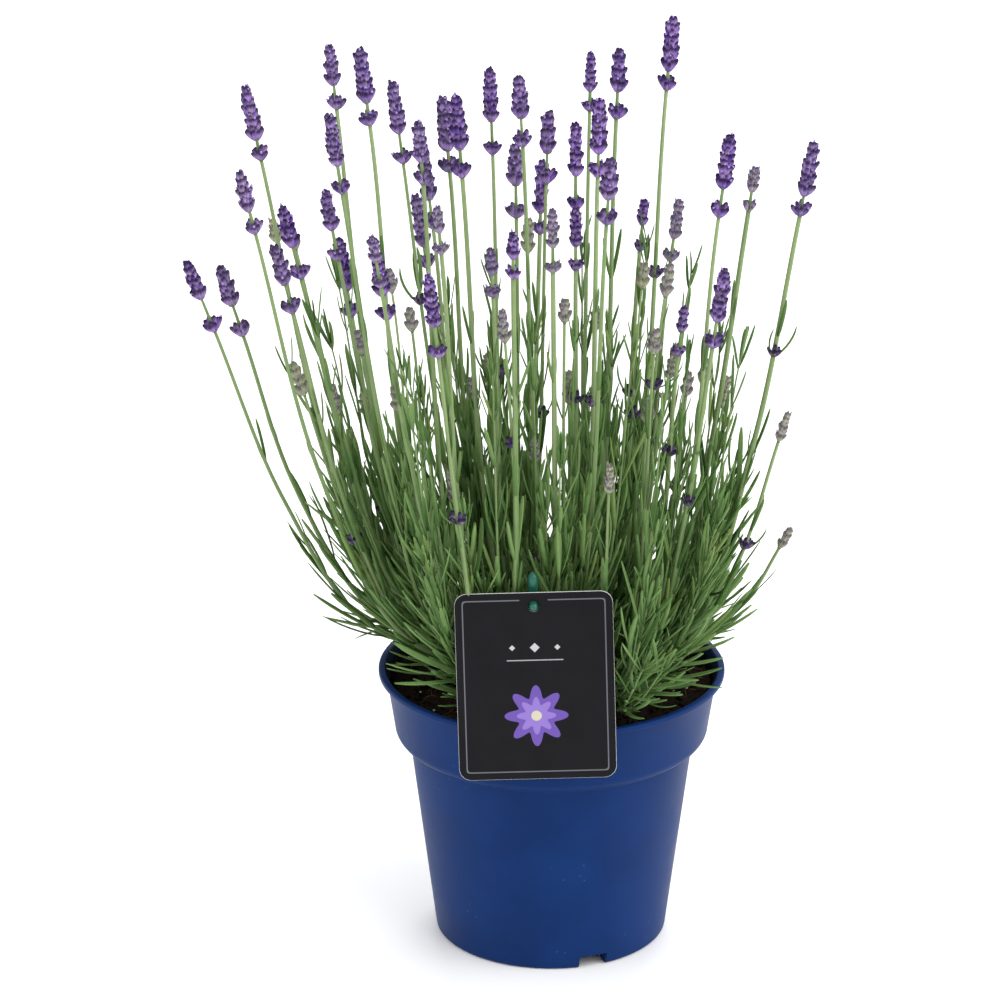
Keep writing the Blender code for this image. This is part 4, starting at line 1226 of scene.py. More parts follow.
def plastic_finish(settings):
    """Moulded polypropylene: faint orange peel, small scuffs, a peat stain and painted shade inside the rim.
    """
    made, tree, shader = new_tree("pot_plastic")
    blotch, grain = mottle(tree, 26.0, 1400.0)
    cloud = spread(tree, blotch, 0.35, 0.68)
    body = blend_colours(tree, cloud, scaled_colour(settings.body, 0.90), scaled_colour(settings.body, 1.12))
    place = tree.nodes.new("ShaderNodeTexCoord").outputs["Object"]
    specks = add(tree, "ShaderNodeTexVoronoi", feature="F1", Scale=210.0)
    link(tree, place, specks.inputs["Vector"])
    fine = math_node(tree, "LESS_THAN", specks.outputs["Distance"], 0.10)
    few = math_node(tree, "MULTIPLY", fine, spread(tree, blotch, 0.56, 0.62))
    body = blend_colours(tree, math_node(tree, "MULTIPLY", few, 0.55), body, tuple(settings.scuff))
    parts = tree.nodes.new("ShaderNodeSeparateXYZ")
    link(tree, place, parts.inputs["Vector"])
    x, y, z = parts.outputs
    # Peat stain and painted shade: the inner wall above the soil, up to just under the lip, is made
    # near-black.
    height = spread(tree, math_node(tree, "MULTIPLY_ADD", grain, 0.0030, z), STAIN_AND_SHADE_TOP, STAIN_AND_SHADE_TOP - 0.0020)
    stain_and_shade = math_node(tree, "MULTIPLY", height, inside_collar(tree, x, y, z))
    body = blend_colours(tree, math_node(tree, "MULTIPLY", stain_and_shade, 0.92), body, STAIN_AND_SHADE_COLOUR)
    rough = math_node(tree, "MULTIPLY_ADD", cloud, 0.10, settings.gloss - 0.04)
    finish_surface(tree, shader, body, rough, 0.07, grain, 0.00006, 0.5)
    return made


def peat_finish(settings):
    """Peat: darker in the hollows of its grain, browner on the crumbs, with a rough grain."""
    made, tree, shader = new_tree("peat")
    blotch, grain = mottle(tree, 160.0, 1300.0)
    tone = mark_value(tree, "tone")
    # The colour follows the grain that also drives the bump, so its hollows are darker.
    share = math_node(tree, "MULTIPLY", spread(tree, grain, 0.35, 0.75), tone, clamp=True)
    base = blend_colours(tree, share, tuple(settings.dark), tuple(settings.pale))
    base = blend_colours(tree, spread(tree, blotch, 0.45, 0.8), base, PEAT_GREY)
    speck = math_node(tree, "GREATER_THAN", tone, 1.5)
    base = blend_colours(tree, speck, base, tuple(settings.speck))
    fibre = math_node(tree, "LESS_THAN", tone, -0.5)
    base = blend_colours(tree, fibre, base, tuple(settings.fibre))
    finish_surface(tree, shader, base, 0.95, 0.08, grain, 0.0007, 0.8)
    return made


def stem_finish(settings):
    """Square green stalks: pale on their ridges and towards the top, with fine lengthwise down."""
    made, tree, shader = new_tree("stalk_green")
    blotch, grain = mottle(tree, 90.0, 1500.0)
    share = mark_value(tree, "share")
    tone = mark_value(tree, "tone")
    side = spread(tree, mark_value(tree, "side"), 0.70, 1.0)
    amount = math_node(tree, "MULTIPLY_ADD", side, 0.26, math_node(tree, "MULTIPLY", share, 0.34))
    amount = math_node(tree, "MULTIPLY_ADD", tone, 0.30, amount)
    amount = math_node(tree, "MULTIPLY_ADD", spread(tree, blotch, 0.3, 0.7), 0.18, amount, clamp=True)
    base = blend_colours(tree, amount, tuple(settings.deep), tuple(settings.pale))
    finish_surface(tree, shader, base, 0.62, 0.22, grain, 0.00012, 0.6)
    return made


def leaf_finish(settings):
    """Narrow grey-green leaves: a paler margin, a darker foot, and a downy bloom."""
    made, tree, shader = new_tree("leaf_green")
    blotch, grain = mottle(tree, 130.0, 1800.0)
    share = mark_value(tree, "share")
    tone = mark_value(tree, "tone")
    edge = spread(tree, mark_value(tree, "side"), 0.55, 1.0)
    amount = math_node(tree, "MULTIPLY_ADD", tone, 0.55, math_node(tree, "MULTIPLY", share, 0.26))
    amount = math_node(tree, "MULTIPLY_ADD", edge, 0.16, amount)
    amount = math_node(tree, "MULTIPLY_ADD", spread(tree, blotch, 0.3, 0.7), 0.16, amount, clamp=True)
    base = blend_colours(tree, amount, tuple(settings.deep), tuple(settings.pale))
    warm = math_node(tree, "MULTIPLY", spread(tree, tone, 0.86, 0.95), 0.55)
    base = blend_colours(tree, warm, base, YELLOW_LEAF)
    finish_surface(tree, shader, base, 0.62, 0.14, grain, 0.00015, 0.6)
    return made


def calyx_finish(settings):
    """Downy calyces: greyish at the foot, violet to mauve along the ribs with darker furrows, nearly
    black at the mouth; the buds in the mouths are lighter; heads that aren't ripe are grey green."""
    made, tree, shader = new_tree("calyx_violet")
    blotch, grain = mottle(tree, 420.0, 2600.0)
    share = mark_value(tree, "share")
    tone = mark_value(tree, "tone")
    tint = mark_value(tree, "tint")
    side = mark_value(tree, "side")
    body = blend_colours(tree, spread(tree, tone, -0.60, 0.15), tuple(settings.dark), tuple(settings.violet))
    body = blend_colours(tree, spread(tree, tone, 0.15, 0.85), body, tuple(settings.mauve))
    body = blend_colours(tree, math_node(tree, "MULTIPLY", side, 0.42), body, tuple(settings.dark))
    faded = math_node(tree, "MULTIPLY", spread(tree, blotch, 0.50, 0.66), 0.60)
    body = blend_colours(tree, faded, body, tuple(settings.taupe))
    foot = math_node(tree, "MULTIPLY", spread(tree, share, 0.40, 0.05), 0.75)
    body = blend_colours(tree, foot, body, CALYX_FOOT)
    unripe = blend_colours(tree, tone, tuple(settings.green), UNRIPE_GREY)
    body = blend_colours(tree, tint, body, unripe)
    closed = math_node(tree, "MULTIPLY_ADD", tint, -0.34, 0.92)
    mouth = math_node(tree, "MULTIPLY", spread(tree, share, 0.58, 0.90), closed)
    body = blend_colours(tree, mouth, body, tuple(settings.dark))
    bud = math_node(tree, "LESS_THAN", share, -0.5)
    petal = blend_colours(tree, tone, tuple(settings.mauve), PETAL)
    petal = blend_colours(tree, tint, petal, UNRIPE_PETAL)
    body = blend_colours(tree, bud, body, petal)
    finish_surface(tree, shader, body, 0.85, 0.05, grain, 0.00012, 0.7)
    return made


def bark_finish():
    """The woody stumps: ridged grey-brown bark."""
    made, tree, shader = new_tree("stump_bark")
    blotch, grain = mottle(tree, 240.0, 900.0)
    base = blend_colours(tree, spread(tree, blotch, 0.3, 0.7), *BARK)
    finish_surface(tree, shader, base, 0.9, 0.5, grain, 0.0006, 0.9)
    return made


# The card's print: the rosette's height and its layers by radius, petals and colour, the lozenges'
# height and each one's shift and size, the bar's height, half length and half width, the frame line's
# width where it fades, and half of its gap at the eyelet.
PRINT_HEIGHT = -0.0165
PRINT_LAYERS = ((0.0105, 8, (0.250, 0.165, 0.500)), (0.0028, 0, (0.560, 0.520, 0.390)))
PRINT_RADIUS = 0.0170
PRINT_PETALS = 8
LOZENGE_HEIGHT = 0.0215
LOZENGES = ((-0.012, 0.0016), (0.0, 0.0026), (0.012, 0.0016))
LOZENGE_COLOUR = (0.480, 0.480, 0.500)
BAR = (0.0145, 0.0150, 0.00030)
BAR_COLOUR = (0.340, 0.340, 0.360)
FRAME_LINE = (0.00042, 0.00022)
FRAME_ROUND = 0.003
FRAME_GAP = 0.0075
# Half of the width over which a printed edge fades.
PRINT_EDGE = 0.00015


def card_finish(settings):
    """The card's black face: a thin rounded frame line that stops short of the eyelet, a row of three
    small lozenges over a bar, and a rosette of eight petals."""
    made, tree, shader = new_tree("card_print")
    place = tree.nodes.new("ShaderNodeUVMap")
    place.uv_map = "Print"
    parts = tree.nodes.new("ShaderNodeSeparateXYZ")
    link(tree, place.outputs["UV"], parts.inputs["Vector"])
    u, v = parts.outputs["X"], parts.outputs["Y"]
    wide, tall = (0.5 * size - settings.inset for size in LABEL_SIZE)
    beside = math_node(tree, "SUBTRACT", math_node(tree, "ABSOLUTE", u), wide)
    above = math_node(tree, "SUBTRACT", math_node(tree, "ABSOLUTE", v), tall)
    edge = math_node(tree, "ABSOLUTE", math_node(tree, "SMOOTH_MAX", beside, above, FRAME_ROUND))
    near = math_node(tree, "LESS_THAN", math_node(tree, "ABSOLUTE", u), FRAME_GAP)
    gap = math_node(tree, "MULTIPLY", near, math_node(tree, "GREATER_THAN", v, 0.0))
    line = spread(tree, edge, *FRAME_LINE)
    line = math_node(tree, "MULTIPLY", line, math_node(tree, "SUBTRACT", 1.0, gap))
    blotch, grain = mottle(tree, 80.0, 1800.0)
    base = blend_colours(
        tree, spread(tree, blotch, 0.3, 0.7), tuple(settings.card), scaled_colour(settings.card, 1.5)
    )
    base = blend_colours(tree, line, base, tuple(settings.line))
    for radius, petals, shade in ((PRINT_RADIUS, PRINT_PETALS, tuple(settings.motif)), *PRINT_LAYERS):
        base = blend_colours(tree, rosette_mask(tree, u, v, PRINT_HEIGHT, radius, petals), base, shade)
    for shift, size in LOZENGES:
        base = blend_colours(tree, lozenge_mask(tree, u, v, shift, size), base, LOZENGE_COLOUR)
    base = blend_colours(tree, bar_mask(tree, u, v, *BAR), base, BAR_COLOUR)
    finish_surface(tree, shader, base, 0.42, 0.14, grain, 0.00002, 0.3)
    return made


def rosette_mask(tree, u, v, height, radius, petals):
    """1 inside a rosette: the distance from its middle is under radius (0.80 + 0.20 cos petals a)."""
    dv = math_node(tree, "SUBTRACT", v, height)
    square = math_node(tree, "MULTIPLY_ADD", u, u, math_node(tree, "MULTIPLY", dv, dv))
    away = math_node(tree, "POWER", square, 0.5)
    turn = math_node(tree, "ARCTAN2", dv, u)
    wave = math_node(tree, "COSINE", math_node(tree, "MULTIPLY", turn, float(petals)))
    reach = math_node(tree, "MULTIPLY_ADD", wave, 0.20 * radius, 0.80 * radius)
    return spread(tree, math_node(tree, "SUBTRACT", away, reach), PRINT_EDGE, -PRINT_EDGE)


def lozenge_mask(tree, u, v, shift, size):
    """1 where the distances beside and above the lozenge's middle add up to less than its size."""
    du = math_node(tree, "ABSOLUTE", math_node(tree, "SUBTRACT", u, shift))
    dv = math_node(tree, "ABSOLUTE", math_node(tree, "SUBTRACT", v, LOZENGE_HEIGHT))
    return spread(tree, math_node(tree, "ADD", du, dv), size + PRINT_EDGE, size - PRINT_EDGE)


def bar_mask(tree, u, v, height, half_length, half_width):
    """1 in a level bar."""
    above = math_node(tree, "ABSOLUTE", math_node(tree, "SUBTRACT", v, height))
    du = math_node(tree, "LESS_THAN", math_node(tree, "ABSOLUTE", u), half_length)
    dv = math_node(tree, "LESS_THAN", above, half_width)
    return math_node(tree, "MULTIPLY", du, dv)


def plain_finish(name, base, rough, depth):
    """A plain moulded or cut surface with faint blotches and a fine grain."""
    made, tree, shader = new_tree(name)
    blotch, grain = mottle(tree, 120.0, 1500.0)
    tinted = blend_colours(tree, spread(tree, blotch, 0.3, 0.7), scaled_colour(base, 0.88), tuple(base))
    finish_surface(tree, shader, tinted, rough, 0.5, grain, depth, 0.5)
    return made


# --- Operators --------------------------------------------------------------------------------


def dress(piece, material, slot, *nodes):
    """Gives a piece its material and its place in the frame, and hides the nodes that it stands for."""
    piece.data.materials.append(material)
    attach(piece, "root")
    if nodes:
        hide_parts(*nodes)
    return piece


def apply_cut(piece, cutter):
    """Cuts one closed mesh from another, and removes the cutter."""
    modifier = piece.modifiers.new("cut", "BOOLEAN")
    modifier.operation = "DIFFERENCE"
    modifier.object = cutter
    modifier.solver = "EXACT"
    graph = bpy.context.evaluated_depsgraph_get()
    mesh = bpy.data.meshes.new_from_object(piece.evaluated_get(graph))
    piece.modifiers.clear()
    piece.data = mesh
    bpy.data.objects.remove(cutter)


def box_piece(name, size, middle, turn):
    """A box, turned about the upright axis."""
    signs = np.array([(x, y, z) for x in (-1, 1) for y in (-1, 1) for z in (-1, 1)], float)
    points = 0.5 * signs * np.array(size)
    c, s = math.cos(turn), math.sin(turn)
    points = points @ np.array([(c, s, 0), (-s, c, 0), (0, 0, 1)]) + np.array(middle)
    quads = np.array([(0, 1, 3, 2), (4, 6, 7, 5), (0, 4, 5, 1), (2, 3, 7, 6), (0, 2, 6, 4), (1, 5, 7, 3)])
    return make_piece(name, points, [quads], smooth=False)


def arc(centre, radius, start, stop, steps):
    """Points of an arc, in (radius, height)."""
    angles = np.linspace(math.radians(start), math.radians(stop), steps)
    return np.stack([centre[0] + radius * np.cos(angles), centre[1] + radius * np.sin(angles)], 1)


# Roundings of the lip's inner edge, outer edge and underside, of the shoulder and of the foot.
LIP_ROUNDS = (0.0009, 0.0010, 0.0007)
SHOULDER_ROUND = 0.0075
FOOT_ROUND = 0.0026
# Corners under the lip and at the step, as shifts from the collar's top and from the step's own corner.
UNDER_LIP = ((0.0004, -0.0003), (0.0, -0.0010))
STEP_BEND = ((0.0009, 0.0009), (0.0002, 0.0), (0.0, -0.0012))
FOOT_RING_OUTER = FOOT_RADIUS - 0.0034
FLOOR_SLOPES = (0.0015, 0.0020)
SHARP_ANGLE = math.radians(38)


def pot_profile():
    """The pot's wall as a closed outline in (radius, height): up the inside, over the lip and down the
    outside, with rounded lip, shoulder and foot."""
    rises = np.array([FLOOR_RISE + WALL, *INSIDE_BENDS, POT_HEIGHT - FLARE_DEPTH])
    inside = np.stack([pot_inner_radius(rises), rises], 1)
    inner, outer, lower = LIP_ROUNDS
    lip_foot = POT_HEIGHT - LIP_DEPTH
    lip_in = arc((RIM_RADIUS - LIP_WIDTH + inner, POT_HEIGHT - inner), inner, 170, 90, 5)
    lip_out = arc((RIM_RADIUS - outer, POT_HEIGHT - outer), outer, 90, 0, 5)
    lip_under = arc((RIM_RADIUS - lower, lip_foot + lower), lower, 0, -80, 4)
    collar = np.array([COLLAR_TOP_RADIUS, lip_foot]) + np.array(UNDER_LIP)
    middle = (COLLAR_FOOT[0] - SHOULDER_ROUND, COLLAR_FOOT[1] + 0.0004)
    shoulder = arc(middle, SHOULDER_ROUND, -2, -72, 8)
    step = np.array(STEP) + np.array(STEP_BEND)
    foot = arc((FOOT_RADIUS + 0.0002 - FOOT_ROUND, FOOT_ROUND), FOOT_ROUND, -4, -86, 6)
    under = np.array([
        (FOOT_RING_OUTER, 0.0),
        (FOOT_RING_INNER, 0.0),
        (FOOT_RING_INNER - FLOOR_SLOPES[0], FLOOR_RISE),
        (CENTRE_PAD + FLOOR_SLOPES[1], FLOOR_RISE),
        (CENTRE_PAD, 0.0),
    ])
    return np.concatenate([inside, lip_in, lip_out, lip_under, collar, shoulder, step, foot, under])


class LAVENDER_OT_pot(bpy.types.Operator):
    """Turns the pot's profile round the upright axis and cuts its drain notches"""

    bl_idname = "lavender.pot"
    bl_label = "Pot"

    def execute(self, context):
        settings = context.scene.lavender_pot
        profile = pot_profile()
        angle = full_turn(settings.segments)
        ring = np.stack([np.cos(angle), np.sin(angle)], 1)
        flat = profile[:, 0][:, None, None] * ring[None]
        height = np.broadcast_to(profile[:, 1][:, None, None], flat.shape[:2] + (1,))
        points = np.concatenate([flat, height], 2).reshape(-1, 3)
        faces = [f[:, ::-1] for f in tube_faces(1, len(profile), settings.segments)]
        pot = make_piece("pot_shell", points, faces)
        for k in range(DRAIN_COUNT):
            bearing = DRAIN_BEARING + 2 * math.pi * k / DRAIN_COUNT
            middle = (FOOT_RADIUS * math.cos(bearing), FOOT_RADIUS * math.sin(bearing), 0.0)
            size = (DRAIN_SIZE[1], DRAIN_SIZE[0], DRAIN_SIZE[2])
            apply_cut(pot, box_piece("notch", size, middle, bearing))
        pot.data.shade_smooth()
        pot.data.set_sharp_from_angle(angle=SHARP_ANGLE)
        dress(pot, plastic_finish(settings), "pot_blue", "pot")
        return {"FINISHED"}


class LAVENDER_OT_soil(bpy.types.Operator):
    """Fills the pot with lumpy peat, with loose crumbs, pale specks and fibres on top"""

    bl_idname = "lavender.soil"
    bl_label = "Soil"

    def execute(self, context):
        settings = context.scene.lavender_soil
        rings, around = SOIL_GRID
        share = np.linspace(1, 0, rings)[:-1] ** 0.85
        angle = full_turn(around)
        reach = float(pot_inner_radius(SOIL_EDGE)) - SOIL_GAPS["edge"]
        x = reach * share[:, None] * np.cos(angle)
        y = reach * share[:, None] * np.sin(angle)
        top = np.stack([x, y, soil_height(x, y)], -1)
        heights = np.array([FLOOR_RISE + WALL + SOIL_GAPS["floor"], *INSIDE_BENDS])
        radii = pot_inner_radius(heights) - SOIL_GAPS["wall"]
        wall = np.stack([
            radii[:, None] * np.cos(angle),
            radii[:, None] * np.sin(angle),
            np.broadcast_to(heights[:, None], (len(heights), around)),
        ], -1)
        grid = np.concatenate([wall, top])
        points = grid.reshape(-1, 3)
        faces = tube_faces(1, len(grid), around)
        tone = np.full(len(points), 0.8)
        bed = make_piece("soil_bed", points, faces, {"tone": tone})
        finish = peat_finish(settings)
        dress(bed, finish, "soil_brown", "soil")
        rng = np.random.default_rng(SEEDS["soil"])
        parts = [self.crumbs(rng, settings), self.fibres(rng, settings)]
        points, faces, marks = join_parts(parts)
        dress(make_piece("soil_crumbs", points, faces, marks), finish, "soil_brown")
        return {"FINISHED"}

    def crumbs(self, rng, settings):
        """Small lumps: flattened balls whose radius is pulled about by a random share at each point."""
        count, (rings, around) = settings.crumbs, CRUMB_SHAPE
        bearing = rng.uniform(0, 2 * np.pi, count)
        reach = CRUMB_REACH * np.sqrt(rng.random(count))
        x, y = reach * np.cos(bearing), reach * np.sin(bearing)
        size = settings.crumb * rng.uniform(*CRUMB_SIZES, count) ** 1.8
        tone = rng.uniform(0.3, 1.3, count)
        pale = rng.random(count) < SPECK_SHARE
        tone = np.where(pale, 2.0, tone)
        size = np.where(pale, SPECK_RADIUS, size)
        slope = np.linspace(-0.42 * np.pi, 0.42 * np.pi, rings)
        turn = full_turn(around)
        shell = np.stack([
            np.cos(slope)[:, None] * np.cos(turn),
            np.cos(slope)[:, None] * np.sin(turn),
            np.broadcast_to(CRUMB_FLATNESS * np.sin(slope)[:, None], CRUMB_SHAPE),
        ], -1)
        rough = rng.uniform(*CRUMB_ROUGH, (count, rings, around, 1))
        centre = np.stack([x, y, soil_height(x, y) + CRUMB_LIFT * size], -1)
        points = centre[:, None, None, :] + size[:, None, None, None] * rough * shell[None]
        marks = {"tone": np.broadcast_to(tone[:, None, None], (count, rings, around))}
        return points.reshape(-1, 3), tube_faces(count, rings, around), marks

    def fibres(self, rng, settings):
        """Thin fibres that lie on the soil. Each turns evenly along its length and rises in the middle
        as half a sine."""
        count, rings = settings.fibres, len(FIBRE_TAPER)
        bearing = rng.uniform(0, 2 * np.pi, count)
        reach = FIBRE_REACH * np.sqrt(rng.random(count))
        start = np.stack([reach * np.cos(bearing), reach * np.sin(bearing)], -1)
        heading = rng.uniform(0, 2 * np.pi, count)
        bend = rng.uniform(-FIBRE_BEND, FIBRE_BEND, count)
        span = rng.uniform(*FIBRE_SPANS, count)
        share = np.linspace(0, 1, rings)
        way = heading[:, None] + bend[:, None] * share
        step = span[:, None] / (rings - 1)
        flat = start[:, None, :] + np.cumsum(np.stack([np.cos(way) * step, np.sin(way) * step], -1), 1)
        away = np.linalg.norm(flat, axis=-1, keepdims=True)
        inside = CRUMB_REACH / np.maximum(away, CRUMB_REACH)
        flat = flat * inside
        arch = FIBRE_ARCH * np.sin(np.pi * share)
        height = soil_height(flat[..., 0], flat[..., 1]) + FIBRE_LIFT + arch
        lines = np.concatenate([flat, height[..., None]], -1)
        side, other = side_frames(lines, heading + 1.57)
        outline = np.array([(1, 0), (0, 1), (-1, 0), (0, -1)], float)
        scale = FIBRE_RADIUS * np.tile(FIBRE_TAPER, (count, 1))
        points = swept(lines, side, other, outline, scale)
        marks = {"tone": np.full(points.shape[:3], -1.0)}
        return points.reshape(-1, 3), tube_faces(count, rings, len(outline)), marks


def rounded_outline(width, height, radius, steps=8):
    """A rectangle with round corners, anticlockwise."""
    corners = ((1, 1, 0), (-1, 1, 1), (-1, -1, 2), (1, -1, 3))
    runs = []
    for sx, sy, quarter in corners:
        centre = (sx * (0.5 * width - radius), sy * (0.5 * height - radius))
        runs.append(arc(centre, radius, 90 * quarter, 90 * (quarter + 1), steps))
    return np.concatenate(runs)


CARD_BEVEL = 0.00012
EYELET_STEPS = 32
EYELET_REACH = 0.005


class LAVENDER_OT_label(bpy.types.Operator):
    """Builds the plant label: a black printed card with a pale cut edge and an eyelet"""

    bl_idname = "lavender.label"
    bl_label = "Label"

    def execute(self, context):
        settings = context.scene.lavender_label
        middle, across, up, outward = label_pose()
        half = 0.5 * LABEL_THICKNESS
        rings = []
        eased = half - CARD_BEVEL
        for inset, depth in ((CARD_BEVEL, -half), (0.0, -eased), (0.0, eased), (CARD_BEVEL, half)):
            outline = rounded_outline(LABEL_SIZE[0] - 2 * inset, LABEL_SIZE[1] - 2 * inset, LABEL_CORNER)
            rings.append(np.concatenate([outline, np.full((len(outline), 1), depth)], 1))
        flat = np.stack(rings)
        around = flat.shape[1]
        points = flat.reshape(-1, 3)
        faces = tube_faces(1, len(rings), around)
        card = make_piece("label_card", points, faces, uv=points[:, :2], smooth=False)
        drop = 0.5 * LABEL_SIZE[1] - EYELET_DROP
        angle = full_turn(EYELET_STEPS)
        ring = EYELET_RADIUS * np.stack([np.cos(angle), np.sin(angle)], 1) + np.array([0.0, drop])
        ends = [np.full((EYELET_STEPS, 1), z) for z in (-EYELET_REACH, EYELET_REACH)]
        bore = np.concatenate([np.concatenate([ring, end], 1) for end in ends])
        apply_cut(card, make_piece("eyelet", bore, tube_faces(1, 2, EYELET_STEPS), smooth=False))
        mesh = card.data
        flat = np.empty(len(mesh.vertices) * 3, np.float32)
        mesh.vertices.foreach_get("co", flat)
        flat = flat.reshape(-1, 3)
        placed = middle + flat[:, :1] * across + flat[:, 1:2] * up + flat[:, 2:] * outward
        mesh.vertices.foreach_set("co", placed.astype(np.float32).ravel())
        mesh.update()
        dress(card, card_finish(settings), "card_black", "plant_label")
        mesh.materials.append(plain_finish("card_edge", tuple(settings.edge), 0.6, 0.00004))
        facing = np.empty(len(mesh.polygons) * 3, np.float32)
        mesh.polygons.foreach_get("normal", facing)
        on_edge = np.abs(facing.reshape(-1, 3) @ outward) < 0.9
        mesh.polygons.foreach_set("material_index", on_edge.astype(np.int32))
        mesh.update()
        return {"FINISHED"}


# Shares of a bar's length, and its radius there as a share of its full one.
ROD_SHAPE = ((0.0, 0.80), (0.02, 0.86), (0.93, 0.86), (0.97, 1.0), (0.99, 0.80), (1.0, 0.35))
PEG_SHAPE = ((0.0, 1.0), (0.5, 1.0), (0.86, 1.0), (0.95, 0.82), (1.0, 0.40))
PEG_OUT = 0.0042
BAR_STEPS = 20
STAKE_GREEN = (0.006, 0.105, 0.070)


class LAVENDER_OT_stake(bpy.types.Operator):
    """Builds the label's green plastic stake, with its knob and the peg through the eyelet"""

    bl_idname = "lavender.stake"
    bl_label = "Stake"

    def execute(self, context):
        foot, top, eye = stake_line()
        outward = label_pose()[3]
        root = foot + (top - foot) * (eye[2] - foot[2]) / (top[2] - foot[2])
        rod = self.round_bar(foot, top, STAKE_RADIUS, ROD_SHAPE)
        peg = self.round_bar(root, eye + PEG_OUT * outward, PEG_RADIUS, PEG_SHAPE)
        points, faces, marks = join_parts([rod, peg])
        finish = plain_finish("stake_plastic", STAKE_GREEN, 0.32, 0.00003)
        dress(make_piece("stake_and_peg", points, faces, marks), finish, "stake_green", "label_stake")
        return {"FINISHED"}

    def round_bar(self, foot, top, radius, shape):
        """A round bar whose radius follows the shape along its length."""
        shares, scales = np.array(shape).T
        line = foot + (top - foot) * shares[:, None]
        way = unit(top - foot)
        level = np.array([0.3, 0.1, 1.0]) if abs(way[2]) < 0.9 else np.array([1.0, 0.2, 0.0])
        side = unit(np.cross(way, level))
        other = np.cross(way, side)
        angle = full_turn(BAR_STEPS)
        flat = np.cos(angle)[:, None] * side + np.sin(angle)[:, None] * other
        points = line[:, None, :] + radius * scales[:, None, None] * flat[None]
        return points.reshape(-1, 3), tube_faces(1, len(shares), BAR_STEPS), {}


# Heights of the added shoots by their form.
SHOOT_FORMS = {"middle": (0.045, 0.140), "low": (0.022, 0.050), "tall": (0.130, 0.240)}
STALK_STOUTNESS = {"full": (0.92, 1.18), "young": (0.92, 1.18), "bud": (0.62, 0.86)}
SHOOT_STOUTNESS = 0.8
SHOOT_SHADE = 0.45
STEM_SIDES = 8
# How far a stalk's tube runs on into its head, and how far the rachis starts below it.
STALK_OVERLAP = 0.0005
RACHIS_FOOT = -0.001
RACHIS_RINGS = 6
STALK_RINGS = 30
SHOOT_RINGS = 12
STUMP_RINGS = 9
STUMP_SIDES = 14
STUMP_TAPER = (0.92, 0.66)
STUMP_RIDGES = (5, 0.09)
STUMP_CUT = 0.6


@functools.lru_cache
def all_shoots():
    """The frame's shoots, then the ones that only the finish has."""
    settings = bpy.context.scene.lavender_leaf
    shoots = [dict(shoot, form="middle") for shoot in plan_shoots(SHOOTS_PER_BUNCH, SEED + 1, STEM_ROOM)]
    for form, number in (("middle", settings.shoots), ("low", settings.skirt), ("tall", settings.tall)):
        seed = SEED + 7 + len(shoots)
        for shoot in plan_shoots(number, seed, SHOOT_ROOM, SHOOT_FORMS[form]):
            away = np.linalg.norm(shoot["points"][-1][:2] - np.array(FOLIAGE_CENTRE))
            if away < FOLIAGE_RADIUS - SHOOT_INSET:
                shoots.append(dict(shoot, form=form))
    return with_ends(shoots)


class LAVENDER_OT_stems(bpy.types.Operator):
    """Grows the stumps, the square flower stalks and the stems of the leafy shoots"""

    bl_idname = "lavender.stems"
    bl_label = "Stems"

    def execute(self, context):
        settings = context.scene.lavender_stem
        finish, bark = stem_finish(settings), bark_finish()
        stalks = with_ends(plan_stalks())
        for bunch, foot in enumerate(bunch_feet()):
            rng = np.random.default_rng(SEEDS["stems"] + bunch)
            own = [dict(s) for s in stalks if s["bunch"] == bunch]
            for stalk in own:
                *lower, tip = stalk["points"]
                stalk["points"] = [*lower, tip + STALK_OVERLAP * stalk["axis"]]
                stalk["stout"] = rng.uniform(*STALK_STOUTNESS[stalk["kind"]])
            looks = {"stout": SHOOT_STOUTNESS, "shade": SHOOT_SHADE}
            shoots = [dict(s, **looks) for s in all_shoots() if s["bunch"] == bunch]
            parts = [
                stems_part(stems, rings, STEM_SIDES, settings.foot, top, rng)
                for stems, rings, top in (
                    (own, STALK_RINGS, settings.top),
                    (shoots, SHOOT_RINGS, 0.5 * settings.top),
                )
                if stems
            ]
            points, faces, marks = join_parts(parts)
            name = f"bunch_{bunch + 1:02d}"
            dress(make_piece(name + "_stems", points, faces, marks), finish, "stem_green", name)
            dress(self.stump(foot, rng, name), bark, "stem_green")
        return {"FINISHED"}

    def stump(self, foot, rng, name):
        """A short ridged stump: its radius shrinks upwards and waves round its girth."""
        heights = np.linspace(STUMP_FOOT, STUMP_TOP - 0.001, STUMP_RINGS)
        angle = full_turn(STUMP_SIDES)
        ridges, depth = STUMP_RIDGES
        wave = 1 + depth * np.cos(ridges * angle + rng.uniform(0, 6))
        radius = STUMP_RADIUS * np.linspace(*STUMP_TAPER, STUMP_RINGS)[:, None] * wave
        radius = radius * rng.uniform(0.95, 1.05, radius.shape)
        radius[-1] *= STUMP_CUT
        points = np.stack([
            foot[0] + radius * np.cos(angle),
            foot[1] + radius * np.sin(angle),
            np.broadcast_to(heights[:, None], radius.shape),
        ], -1)
        faces = tube_faces(1, STUMP_RINGS, STUMP_SIDES)
        return make_piece(name + "_stump", points.reshape(-1, 3), faces)


